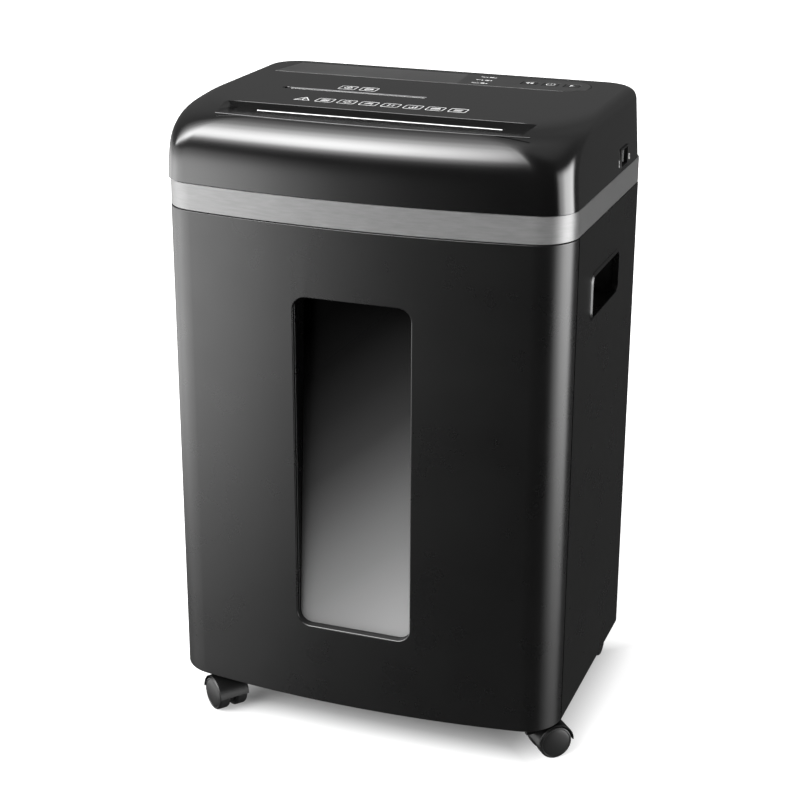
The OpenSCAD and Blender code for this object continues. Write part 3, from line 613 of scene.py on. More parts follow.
def circle_of(x, y, r, n=24):
    return lambda g: arc(x, y, r + g, 0, 360, n)[:-1]


def key_rect(x, size, r=1.5 * MM):
    return rect_of(x - size / 2, KEY_Y - size / 2, x + size / 2, KEY_Y + size / 2, r)


def head_cover():
    cover = head_solid("head_shell", 0.0, HEAD_Z)
    inside = head_solid("head_inside", WALL, HEAD_Z - 4 * MM)
    cut(inside, tray_cutter(WALL))
    for x in (-171 * MM, 171 * MM):
        for y in (-70 * MM, 106 * MM):
            cut(inside, place(rod("post", 4.5 * MM, HEAD_Z, TOP), Matrix.Translation((x, y, 0))))
    cut(cover, inside)
    low = HEAD_Z
    cut(cover, tray_cutter(), tray_back_lip(),
        sunk("slot", rect_of(SLOT_X0, SLOT_Y0, SLOT_X1, SLOT_Y1, 1 * MM), low, TRAY_Z, 0.5 * MM),
        sunk("disc_slot", rect_of(DISC_X0, DISC_Y0, DISC_X1, DISC_Y1, 1 * MM), low, TOP, 0.7 * MM),
        sunk("disc_eye", circle_of(DISC_X0, (DISC_Y0 + DISC_Y1) / 2, 3.6 * MM), low, TOP, 0.7 * MM),
        sunk("strip_pocket", strip_outline(0.0), TOP - STRIP_DEPTH, TOP, 0.1 * MM))
    for x in KEY_X.values():
        cut(cover, prism("key_hole", key_rect(x, KEY + 1 * MM)(0), low, TOP))
    for x, y in LAMPS:
        cut(cover, prism("lamp_hole", circle_of(x, y, 1.6 * MM)(0), low, TOP))
    hole = rect_of(ROCKER_Y - 13 * MM, ROCKER_Z - 9.2 * MM, ROCKER_Y + 13 * MM, ROCKER_Z + 9.2 * MM, 1 * MM)
    cut(cover, prism("switch_hole", hole(0), HALF_W - 12 * MM, HALF_W + 4 * MM, along_x))
    gland = ((gland_lo.x + gland_hi.x) / 2, (gland_lo.z + gland_hi.z) / 2)
    cut(cover, sunk("gland_hole", circle_of(*gland, 7.1 * MM, 32), HALF_D - 8 * MM, HALF_D, 0.5 * MM, along_y))
    for k in range(13):
        vent = rect_of((20 + 9 * k) * MM, 526 * MM, (24.4 + 9 * k) * MM, 558 * MM, 2.1 * MM)
        cut(cover, sunk("vent", vent, HALF_D - 8 * MM, HALF_D, 0.5 * MM, along_y, steps=2))
    cover.name = "head_cover_shell"
    give(smooth(cover), "gloss_black", "housing", ["head_cover"])
    # The tray's back wall gets a matte black that hardly reflects: partly a matte finish, partly painted shade for the
    # deep throat
    cover.data.materials.append(MATS["throat_matte_painted_shade"])
    for face in cover.data.polygons:
        deep = abs(face.center.y - TRAY_BACK_Y) < 1.5 * MM and TRAY_Z - 1 * MM < face.center.z < TOP - 0.3 * MM
        face.material_index = int(deep and face.normal.y < -0.5)
    return cover


def edge_strip(name, mat, span, y, z, r):
    """Half-round strip along the front edge of a slot, over its span in x."""
    profile = arc(y - r, z - 0.3 * r, r, 0, 180, 8) + [(y - 2 * r, z - 1.2 * r), (y, z - 1.2 * r)]
    strip = prism(name, profile, span[0] + 0.5 * MM, span[1] - 0.5 * MM, along_x)
    return give(smooth(strip), mat, "housing")


def tray_crease():
    """Where the feed tray's floor meets the front roll: points (x, y, z) along the bow."""
    points = []
    for k in range(41):
        x = -134 * MM + 279 * MM * k / 40
        swing = math.sqrt(max((FRONT_R) ** 2 - x * x, 0))
        low, high = 0.0, HEAD_ROLL
        for _ in range(30):
            rolled = (low + high) / 2
            y = ARC_Y - swing + rolled
            rise = HEAD_ROLL - rolled
            drop = HEAD_ROLL - (HEAD_ROLL ** ROLL_POWER - rise ** ROLL_POWER) ** (1 / ROLL_POWER)
            if TOP - drop > tray_floor(y):
                high = rolled
            else:
                low = rolled
        points.append((x, y, tray_floor(y)))
    return points


def tray_bead():
    """Fine bead along the front crease of the feed tray."""
    r = 0.55 * MM
    rings = []
    for x, y, z in tray_crease():
        rings.append([Vector((x, y + r * math.cos(math.radians(a)), z + r * math.sin(math.radians(a)) - 0.25 * r))
                      for a in range(0, 360, 45)])
    return give(smooth(loft("tray_bead", rings), 80), "gloss_black", "housing")


def trim_band():
    z0, z1 = band_lo.z, band_hi.z
    rings = [inset_ring(z0, 1.0 * MM), inset_ring(z0 + 0.6 * MM, 0.3 * MM), inset_ring(z1 - 0.6 * MM, 0.3 * MM),
             inset_ring(z1, 1.0 * MM), inset_ring(z1, WALL), inset_ring(z0, WALL)]
    return give(smooth(loft("silver_band", rings, closed=True)), "silver", "housing", ["trim_band"])


def control_strip():
    """Grey strip whose right-hand part, round the keys, is darker: painted shade past the divider."""
    body = strip_outline(0.5 * MM)
    z = STRIP_TOP
    strip = stack("control_strip", [(body(0), TOP - STRIP_DEPTH), (body(0), z - 0.6 * MM),
                                    (body(-0.18 * MM), z - 0.18 * MM), (body(-0.6 * MM), z)])
    for x in KEY_X.values():
        cut(strip, sunk("key_hole", key_rect(x, KEY + 0.7 * MM), z - 3 * MM, z, 0.3 * MM))
    for x, y in LAMPS:
        cut(strip, sunk("lamp_hole", circle_of(x, y, 1.45 * MM), z - 3 * MM, z, 0.2 * MM))
    divide_0, divide_1 = Vector((23.5 * MM, STRIP_Y0, 0)), Vector((19.5 * MM, STRIP_Y1, 0))
    across = Vector((divide_1.y - divide_0.y, divide_0.x - divide_1.x, 0)).normalized()

    def change(bm):
        geom = bm.verts[:] + bm.edges[:] + bm.faces[:]
        bmesh.ops.bisect_plane(bm, geom=geom, plane_co=divide_0, plane_no=across)
        for face in bm.faces:
            face.material_index = int((face.calc_center_median() - divide_0).dot(across) > 0)

    edit(strip, change)
    shares = [face.material_index for face in strip.data.polygons]
    give(smooth(strip), "strip_grey", "housing", ["control_panel"])
    # The part past the divider gets a darker grey as painted shade
    strip.data.materials.append(MATS["strip_painted_shade"])
    strip.data.polygons.foreach_set("material_index", shares)
    return strip


def lenses():
    made = []
    for x, y in LAMPS:
        z = STRIP_TOP + 0.1 * MM
        dome = [(1.35 * MM * math.cos(math.radians(a)), z - 0.5 * MM + 0.5 * MM * math.sin(math.radians(a)))
                for a in (0, 22, 45, 68)]
        lens = turned("lens", [(0, z - 4.4 * MM), (1.35 * MM, z - 4.4 * MM)] + dome + [(0, z)], 24)
        made.append(place(lens, Matrix.Translation((x, y, 0))))
    return give(smooth(join("lamp_lenses", made)), "lens", "housing", ["indicator_lenses"])


# ---------- Printed marks ----------

INK = 0.08 * MM


def ink(outline, z, axes=flat, depth=0.05 * MM):
    return prism("ink", outline, z - depth, z + INK, axes)


def ink_ring(outline, stroke, z, axes=flat, depth=0.05 * MM):
    """Printed line that follows an outline function, stroke wide."""
    def level(g, w):
        return [Vector(axes(u, v, w)) for u, v in outline(g)]
    rings = [level(0, z - depth), level(0, z + INK), level(-stroke, z + INK), level(-stroke, z - depth)]
    return loft("ink_ring", rings, closed=True)


def polygon_of(cx, cy, points):
    """Outline function of a polygon given round (cx, cy); growing scales it."""
    reach = max(math.hypot(x, y) for x, y in points)
    return lambda g: [(cx + x * (1 + g / reach), cy + y * (1 + g / reach)) for x, y in points]


def bar(x0, y0, x1, y1, z):
    return ink([(x0, y0), (x1, y0), (x1, y1), (x0, y1)], z)


def glyph(kind, x, y, z):
    """Plain geometric mark inside one of the rounded squares."""
    s = MM
    if kind == "lines":
        return [bar(x - 3.6 * s, y + k * s - 0.5 * s, x + 3.6 * s, y + k * s + 0.5 * s, z) for k in (-2.6, 0, 2.6)]
    if kind == "disc":
        return [ink_ring(circle_of(x, y, 3.8 * s), 0.9 * s, z), ink(circle_of(x, y, 1.1 * s)(0), z)]
    if kind == "chevrons":
        return [ink([(x - 3.6 * s, y + d), (x, y + d + 2.6 * s), (x + 3.6 * s, y + d), (x + 3.6 * s, y + d - 1.3 * s),
                     (x, y + d + 1.3 * s), (x - 3.6 * s, y + d - 1.3 * s)], z) for d in (-1.6 * s, 1.4 * s)]
    if kind == "diamond":
        return [ink_ring(polygon_of(x, y, [(4 * s, 0), (0, 4 * s), (-4 * s, 0), (0, -4 * s)]), 1.2 * s, z)]
    if kind == "card":
        return [ink_ring(rect_of(x - 4 * s, y - 2.8 * s, x + 4 * s, y + 2.8 * s, 0.8 * s, 3), 0.8 * s, z),
                bar(x - 3.2 * s, y + 0.4 * s, x + 3.2 * s, y + 1.4 * s, z)]
    if kind == "steps":
        return [bar(x + k * s - 0.7 * s, y - 3.6 * s, x + k * s + 0.7 * s, y + k * 0.9 * s + 1.4 * s, z)
                for k in (-2.6, 0, 2.6)]
    return [ink(circle_of(x + dx * s, y + dy * s, 1.1 * s, 16)(0), z) for dx in (-2, 2) for dy in (-2, 2)]


def badge(kind, x, y, z):
    square = rect_of(x - 8 * MM, y - 7.4 * MM, x + 8 * MM, y + 7.4 * MM, 2.4 * MM, 5)
    return [ink_ring(square, 0.8 * MM, z)] + glyph(kind, x, y, z)


def feed_symbols():
    """Row of plain pictograms behind the paper slot, and a pair behind the disc slot."""
    y, z = -42 * MM, TOP
    tri = polygon_of(-79 * MM, y - 1.4 * MM, [(-7.6 * MM, -4.4 * MM), (7.6 * MM, -4.4 * MM), (0, 8.8 * MM)])
    marks = [ink_ring(tri, 1.9 * MM, z), bar(-79.7 * MM, y - 1.6 * MM, -78.3 * MM, y + 3.2 * MM, z),
             bar(-79.7 * MM, y - 3.8 * MM, -78.3 * MM, y - 2.6 * MM, z)]
    kinds = ("lines", "diamond", "chevrons", "dots", "steps", "card", "lines")
    for k, kind in enumerate(kinds):
        marks += badge(kind, (-58.8 + 20.3 * k) * MM, y, z)
    for x, kind in ((-61, "disc"), (-41, "card")):
        marks += badge(kind, x * MM, 18 * MM, z)
    for x, y in LAMPS:
        half = 0.6 * MM if x < 45 * MM else 1.5 * MM
        marks.append(bar(x - 5.7 * MM, y - half, x - 1.8 * MM, y + half, STRIP_TOP))
    return give(join("feed_symbols", marks), "print", "housing")


def power_mark(x, y, z, r):
    gap = 32
    outer = arc(x, y, r, 90 + gap, 450 - gap, 24)
    inner = arc(x, y, r - 0.7 * MM, 450 - gap, 90 + gap, 24)
    return [ink(outer + inner, z), bar(x - 0.35 * MM, y + 0.3 * MM, x + 0.35 * MM, y + r + 0.4 * MM, z)]


def arrow(x, y, z, size):
    return ink([(x - size / 2, y - abs(size)), (x + size / 2, y), (x - size / 2, y + abs(size))], z)


def key_cap(name, x):
    """Square key with a soft edge, a skirt that keeps it in and a stem that presses its switch."""
    size = rect_of(x - KEY / 2, KEY_Y - KEY / 2, x + KEY / 2, KEY_Y + KEY / 2, 1.5 * MM)
    top = STRIP_TOP + 0.05 * MM
    cap = stack("cap", [(size(1.5 * MM), top - 6.1 * MM), (size(1.5 * MM), top - 4.2 * MM), (size(0), top - 4.2 * MM),
                        (size(0), top - 0.7 * MM), (size(-0.2 * MM), top - 0.25 * MM), (size(-0.7 * MM), top)])
    stem = place(rod("stem", 3 * MM, top - 8.5 * MM, top - 6 * MM), Matrix.Translation((x, KEY_Y, 0)))
    combine(cap, "UNION", stem)
    cap.name = "key_cap_" + name
    give(smooth(cap), "key_grey", "key_" + name, ["button_" + name])
    r = 3.4 * MM
    marks = {"reverse": lambda: [arrow(x - 1.9 * MM, KEY_Y, top, -r), arrow(x + 1.9 * MM, KEY_Y, top, -r)],
             "power": lambda: power_mark(x, KEY_Y, top, 4.4 * MM),
             "forward": lambda: [arrow(x, KEY_Y, top, r)]}[name]()
    give(join("key_mark_" + name, marks), "print", "key_" + name)


# ---------- Switch ----------


def side_x(z):
    """Where the head's leaning side wall is at height z."""
    return HALF_W - SIDE_DRAFT * (z - HEAD_Z)


def switch():
    y, z = ROCKER_Y, ROCKER_Z
    frame_of = rect_of(y - 12.9 * MM, z - 9.1 * MM, y + 12.9 * MM, z + 9.1 * MM, 1 * MM, 4)
    opening = rect_of(y - ROCKER_W / 2, z - ROCKER_H / 2, y + ROCKER_W / 2, z + ROCKER_H / 2, 0.8 * MM, 4)
    face = side_x(z) + 0.7 * MM
    housing = stack("switch_frame", [(frame_of(-0.6 * MM), bezel_lo.x), (frame_of(-0.6 * MM), side_x(z) - 1.4 * MM),
                                     (frame_of(0), side_x(z) - 1.2 * MM), (frame_of(0), face - 0.4 * MM),
                                     (frame_of(-0.5 * MM), face)], along_x)
    cut(housing, sunk("opening", opening, bezel_hi.x - 12.4 * MM, face, 0.4 * MM, along_x))
    give(smooth(housing), "inner_black", "housing", ["switch_housing"])
    # Two faces that meet in a shallow V on a trunnion, drawn about the pivot
    n = 8
    paddle = [(-1 * MM, -9.5 * MM)]
    paddle += [((4.6 - 1.3 * math.sin(math.pi / 2 * k / n)) * MM, (-9.5 + 9.5 * k / n) * MM) for k in range(n + 1)]
    paddle += [((4.6 - 1.3 * math.sin(math.pi / 2 * (n - k) / n)) * MM, 9.5 * k / n * MM) for k in range(1, n + 1)]
    paddle += [(-1 * MM, 9.5 * MM), (-3 * MM, 2 * MM), (-3 * MM, -2 * MM)]
    low, high = z - ROCKER_H / 2 + 0.4 * MM, z + ROCKER_H / 2 - 0.4 * MM
    rocker = bevel(prism("rocker", paddle, low, high), 0.4 * MM, 3, 50)
    turn = Matrix.Translation((HALF_W - 9 * MM, y, 0)) @ Matrix.Rotation(math.radians(-ROCKER_TILT), 4, "Z")
    rocker.name = "rocker_paddle"
    give(smooth(place(rocker, turn)), "gloss_black", "rocker", ["power_rocker"])
    level = side_x(z - 3 * MM)
    stroke = [(y - 19.4 * MM, z - 6 * MM), (y - 18.4 * MM, z - 6 * MM), (y - 18.4 * MM, z), (y - 19.4 * MM, z)]
    ring = ink_ring(circle_of(y + 18 * MM, z - 3.4 * MM, 2.6 * MM, 20), 0.9 * MM, level, along_x)
    marks = join("switch_marks", [ink(stroke, level, along_x), ring])
    for vertex in marks.data.vertices:
        vertex.co.x += side_x(vertex.co.z) - level
    give(marks, "print", "housing")


# ---------- Cabinet ----------


def cabinet_shell(name, z0):
    """Whole wall of the cabinet with softened top and bottom edges; the panels are cut from it."""
    z1 = front_hi.z
    soft = [(z0, 0.9), (z0 + 0.3 * MM, 0.35), (z0 + 0.9 * MM, 0.0), (z1 - 0.7 * MM, 0.0), (z1 - 0.2 * MM, 0.25),
            (z1, 0.7)]
    rings = [inset_ring(z, i * MM) for z, i in soft]
    rings += [inset_ring(z1, WALL), inset_ring(z0, WALL)]
    return loft(name, rings, closed=True)


def keep_box(obj, lo, hi):
    return combine(obj, "INTERSECT", box("keep", lo, hi))


def bow_y(x):
    """Depth of the bowed front surface at x."""
    return ARC_Y - math.sqrt(FRONT_R * FRONT_R - x * x)


def lean_y(z):
    """Depth of the leaning pane's front at height z."""
    return -HALF_D + WIN_D0 + (WIN_D1 - WIN_D0) * (z - WIN_Z0) / (WIN_Z1 - WIN_Z0)


window = rect_of(-WIN_W / 2, WIN_Z0, WIN_W / 2, WIN_Z1, WIN_R, 10)


def window_ring(g, depth):
    return [Vector((x, depth(x, z), z)) for x, z in window(g)]


def window_loft(name, levels):
    """Solid whose rings are (growth, depth function of x and z)."""
    return loft(name, [window_ring(g, depth) for g, depth in levels])


def window_recess(flare):
    levels = [(flare, lambda x, z: bow_y(x) - 6 * MM)]
    for k in (5, 4, 3, 2, 1, 0):
        a = math.pi / 2 * k / 5
        levels.append((flare * (1 - math.cos(a)), lambda x, z, a=a: bow_y(x) + flare * (1 - math.sin(a))))
    levels.append((0.0, lambda x, z: lean_y(z) + 0.01 * MM))
    return window_loft("recess", levels)


def bin_front():
    shell = keep_box(cabinet_shell("front_shell", front_lo.z), (-0.3, -0.2, 0), (0.3, front_hi.y - 0.5 * MM, 0.6))
    block = window_loft("block", [(WALL, lambda x, z: bow_y(x) + 1.5 * MM),
                                  (WALL, lambda x, z: lean_y(z) + PANE_T + WALL)])
    combine(shell, "UNION", block)
    cut(shell, window_recess(1.1 * MM),
        window_loft("pocket", [(0.2 * MM, lambda x, z: lean_y(z) - 0.5 * MM),
                               (0.2 * MM, lambda x, z: lean_y(z) + PANE_T + 0.05 * MM)]),
        window_loft("through", [(-LEDGE, lambda x, z: lean_y(z) - 1 * MM),
                                (-LEDGE, lambda x, z: lean_y(z) + 20 * MM)]))
    shell.name = "bin_front_shell"
    give(smooth(shell), "satin_black", "bin", ["bin_front"])
    # Bead down the left wall of the recess, just inside its lip
    x, y = -WIN_W / 2, bow_y(-WIN_W / 2) + 3.2 * MM
    section = arc(x + 0.1 * MM, y, 0.9 * MM, -90, 90, 8) + [(x - 0.6 * MM, y + 0.9 * MM), (x - 0.6 * MM, y - 0.9 * MM)]
    bead = prism("window_bead", section, WIN_Z0 + WIN_R, WIN_Z1 - WIN_R + 4 * MM)
    return give(smooth(bead), "satin_black", "bin")


def pane():
    sheet = window_loft("smoked_window", [(-0.5 * MM, lambda x, z: lean_y(z)),
                                          (-0.2 * MM, lambda x, z: lean_y(z) + 0.12 * MM),
                                          (-0.1 * MM, lambda x, z: lean_y(z) + 0.4 * MM),
                                          (-0.1 * MM, lambda x, z: lean_y(z) + PANE_T)])
    return give(smooth(sheet), "pane", "bin", ["window_pane"])


def side_panels():
    """Both side walls, each with its grip hole, and the finger cup behind it."""
    grip = rect_of(GRIP_Y0, GRIP_Z0, GRIP_Y1, GRIP_Z1, GRIP_R)
    for side, sign in (("right", 1), ("left", -1)):
        x0, x1 = sorted((0.0, sign * 0.3))
        wall = keep_box(cabinet_shell("wall", side_lo.z), (x0, side_lo.y + 0.9 * MM, 0), (x1, side_hi.y, 0.6))
        cut(wall, sunk("grip", grip, sign * (HALF_W - 8 * MM), sign * HALF_W, 0.4 * MM, along_x))
        wall.name = "side_wall_" + side
        give(smooth(wall), "satin_black", "housing", ["side_panel_" + side])
        # Raised rim round the grip hole: it slopes up from the wall and turns in over the cup
        section = [(-0.1, -4), (-0.1, 0.1), (-1.7, 1.3), (-2.3, 1.5), (-2.9, 1.3), (-3.2, 0.7), (-3.2, -4)]
        rings = [[Vector(along_x(u, v, sign * (HALF_W + w * MM))) for u, v in grip(g * MM)] for g, w in section]
        give(smooth(loft("grip_rim_" + side, rings, closed=True), 40), "satin_black", "housing")
        outer = rect_of(GRIP_Y0 - 4 * MM, GRIP_Z0 - 4 * MM, GRIP_Y1 + 4 * MM, GRIP_Z1 + 4 * MM, 12 * MM)
        levels = [(outer(-2 * MM), cup_lo.x), (outer(0), cup_lo.x + 2 * MM), (outer(0), cup_hi.x)]
        cup = stack("cup", [(o, sign * w) for o, w in levels], along_x)
        pocket = [(grip(-6 * MM), cup_lo.x + 2 * MM), (grip(-3 * MM), cup_lo.x + 2.8 * MM),
                  (grip(-1.4 * MM), cup_lo.x + 5.5 * MM), (grip(0.0), cup_hi.x + 1 * MM)]
        cut(cup, stack("pocket", [(o, sign * w) for o, w in pocket], along_x))
        cup.name = "finger_cup_" + side
        give(smooth(cup), "inner_black", "housing", ["grip_cup_" + side])


def back_wall():
    wall = keep_box(cabinet_shell("back_wall", back_lo.z), (-0.3, back_lo.y, 0), (0.3, 0.3, 0.6))
    for k in range(9):
        vent = rect_of(-60 * MM, (380 + 9 * k) * MM, 60 * MM, (385 + 9 * k) * MM, 2.4 * MM, 5)
        cut(wall, sunk("vent", vent, HALF_D - 6 * MM, HALF_D, 0.7 * MM, along_y, steps=2))
    return give(smooth(wall), "satin_black", "housing", ["back_panel"])


def gland():
    x, z = (gland_lo.x + gland_hi.x) / 2, (gland_lo.z + gland_hi.z) / 2
    s = MM
    profile = [(3.6 * s, -17 * s), (6 * s, -17 * s), (6 * s, -6 * s), (10 * s, -6 * s), (10 * s, -3.2 * s),
               (6.9 * s, -3.2 * s), (6.9 * s, -0.5 * s), (6.4 * s, -0.05 * s), (4.4 * s, -0.05 * s),
               (3.8 * s, -0.4 * s), (3.6 * s, -1.2 * s)]
    ring = turned("gland_bush", profile, 40)
    turn = Matrix.Translation((x, HALF_D, z)) @ Matrix.Rotation(math.radians(-90), 4, "X")
    return give(smooth(place(ring, turn)), "inner_black", "housing", ["cord_gland"])


# ---------- Bin ----------


def tub():
    """Moulded tub with drafted walls, a rolled rim, a window cut-out and two runners."""
    x1, y0, y1 = tub_hi.x, tub_lo.y, tub_hi.y
    z0, z1 = 60 * MM, tub_hi.z
    body = rect_of(-x1, y0, x1, y1, 14 * MM)
    draft, wall = 3 * MM, 2.2 * MM
    outer = stack("tub", [(body(-draft - 3 * MM), z0), (body(-draft - 0.9 * MM), z0 + 0.9 * MM),
                          (body(-draft), z0 + 3 * MM), (body(-1.6 * MM), z1 - 6 * MM), (body(-0.6 * MM), z1 - 5 * MM),
                          (body(0), z1 - 4.4 * MM), (body(0), z1 - 0.8 * MM), (body(-0.8 * MM), z1)])
    inner = [(body(-draft - wall - 3 * MM), z0 + wall), (body(-draft - wall), z0 + wall + 3 * MM),
             (body(-1.6 * MM - wall), z1 - 6 * MM), (body(-wall - 0.4 * MM), z1 - 1 * MM), (body(-wall), z1 + 1 * MM)]
    cut(outer, stack("hollow", inner))
    hole = rect_of(-WIN_W / 2 + 2 * MM, WIN_Z0 + 2 * MM, WIN_W / 2 - 2 * MM, WIN_Z1 - 12 * MM, 8 * MM)
    cut(outer, prism("hole", hole(0), y0 - 5 * MM, y0 + 12 * MM, along_y))
    for x in (-140 * MM, 137 * MM):
        runner = box("runner", (x, y0 + 12 * MM, tub_lo.z), (x + 3 * MM, y1 - 12 * MM, z0 + 1 * MM))
        combine(outer, "UNION", bevel(runner, 0.5 * MM))
    outer.name = "shred_tub"
    return give(smooth(outer), "grey_plastic", "bin", ["bin_tub"])


def disc_tray():
    """Narrow trough that hangs across the tub by its two flanges."""
    x, y0, y1 = 154.5 * MM, tray_lo.y, tray_hi.y
    z0, z1 = tray_lo.z, tray_hi.z
    body = rect_of(-x, y0, x, y1, 6 * MM)
    trough = stack("trough", [(body(-3 * MM), z0), (body(-2 * MM), z0 + 1 * MM), (body(-1.6 * MM), z0 + 3 * MM),
                              (body(0), z1)])
    flange = prism("flange", rounded(tray_lo.x, y0, tray_hi.x, y1, 3 * MM), z1 - 2 * MM, z1)
    combine(trough, "UNION", bevel(flange, 0.5 * MM))
    cut(trough, stack("hollow", [(body(-5 * MM), z0 + 2 * MM), (body(-3.6 * MM), z0 + 5 * MM),
                                 (body(-2 * MM), z1 + 1 * MM)]))
    trough.name = "disc_trough"
    return give(smooth(trough), "inner_black", "bin", ["cd_tray"])


# ---------- Casters ----------


def wheel_pair():
    """Two crowned wheels whose outer faces are shallow domes with a ring groove."""
    s = MM
    profile = [(2.05, 2.9), (13.8, 2.9), (15.2, 3.6), (15.9, 4.8), (16.0, 6.0), (16.0, 12.0), (15.9, 13.2),
               (15.4, 14.2), (14.6, 14.75), (13.9, 14.8), (13.5, 14.45), (13.1, 14.5), (12.6, 14.9), (10, 15.35),
               (6.5, 15.75), (3, 15.93), (0, 15.97), (0, 14.8), (2.05, 14.8)]
    pair = []
    for flip in (1, -1):
        wheel = turned("wheel", [(r * s, z * flip * s) for r, z in profile], 64)
        pair.append(wheel)
    axle_line = Matrix.Translation((TRAIL, 0, WHEEL_R)) @ Matrix.Rotation(math.radians(90), 4, "X")
    return place(join("wheels", pair), axle_line)


def fork():
    """Hooded fork with its stem, collar, web and axle, before it is turned into place."""
    s = MM
    to_axle = Matrix.Translation((TRAIL, 0, WHEEL_R)) @ Matrix.Rotation(math.radians(90), 4, "X")
    hood_profile = [(16.7, -14.9), (17.3, -15.25), (17.9, -14.6), (17.95, 0), (17.9, 14.6), (17.3, 15.25),
                    (16.7, 14.9)]
    hood = place(turned("hood", [(r * s, z * s) for r, z in hood_profile], 36, 176, 2), to_axle)
    web = place(bevel(prism("web", circle_of(0, 0, 12.5 * s, 40)(0), -2.2 * s, 2.2 * s), 0.3 * s, 1), to_axle)
    neck = bevel(box("neck", (-3 * s, -2.2 * s, 22 * s), (TRAIL, 2.2 * s, 33.6 * s)), 0.3 * s, 1)
    collar = turned("collar", [(0, 32.6 * s), (6 * s, 32.6 * s), (8.6 * s, 33.6 * s), (9 * s, 34.2 * s),
                               (9 * s, 36.8 * s), (8.5 * s, 37.4 * s), (0, 37.4 * s)], 40)
    stem = rod("stem", 4 * s, 30 * s, 55 * s, 0.6 * s)
    axle = place(rod("axle", 2 * s, -14.5 * s, 14.5 * s), to_axle)
    return combine(hood, "UNION", web, neck, collar, stem, axle)


def casters():
    for key, (sx, sy, turn) in CASTERS.items():
        where = Matrix.Translation((sx * STEM_X, sy * STEM_Y, 0)) @ Matrix.Rotation(math.radians(turn), 4, "Z")
        wheels = place(wheel_pair(), where)
        wheels.name = "caster_rollers_" + key
        give(smooth(wheels), "wheel_black", "wheels_" + key, ["caster_wheels_" + key])
        body = place(fork(), where)
        body.name = "caster_hood_" + key
        give(smooth(body), "caster_black", "fork_" + key, ["caster_fork_" + key])


# ---------- Mechanism: CAD solids that keep their shape ----------

KEPT = {
    "steel": ["chassis_plate_left", "chassis_plate_right", "tie_rods", "gear_pins", "motor_can", "comb_front",
              "comb_rear", "head_screws", "paper_gear_rear", "paper_gear_front", "cd_gear_front", "cd_gear_rear",
              "motor_pinion"],
    "cutter_steel": ["paper_cutter_rear", "paper_cutter_front", "cd_cutter_front", "cd_cutter_rear"],
    "bronze": ["shaft_bushes"],
    "copper": ["motor_rotor"],
    "nylon": ["idler_gear", "reduction_gear", "caster_sockets"],
    "board": ["control_board", "power_board"],
    "grey_plastic": ["bin_guides", "paper_sensor", "bin_switch", "motor_fan"],
    "inner_black": ["base_tray", "head_base", "paper_chute", "cd_chute"],
}


def mechanism():
    nodes = {obj.name: obj for obj in bpy.data.objects}
    for mat, names in KEPT.items():
        for name in names:
            obj = nodes[name]
            obj.data.materials.clear()
            obj.data.materials.append(MATS[mat])


# ---------- Camera, lights, floor ----------


def camera():
    data = bpy.data.cameras.new("camera")
    data.sensor_width = 36
    data.lens = 82.97
    data.clip_start = 0.05
    data.clip_end = 50
    cam = link(bpy.data.objects.new("camera", data))
    cam.location = (0.5496, -1.51595, 0.89675)
    look = Euler((math.radians(90 - 20.52), 0, math.radians(20.06)), "XYZ").to_matrix()
    cam.rotation_euler = (look @ Matrix.Rotation(math.radians(0.23), 3, "Z")).to_euler()
    bpy.context.scene.camera = cam


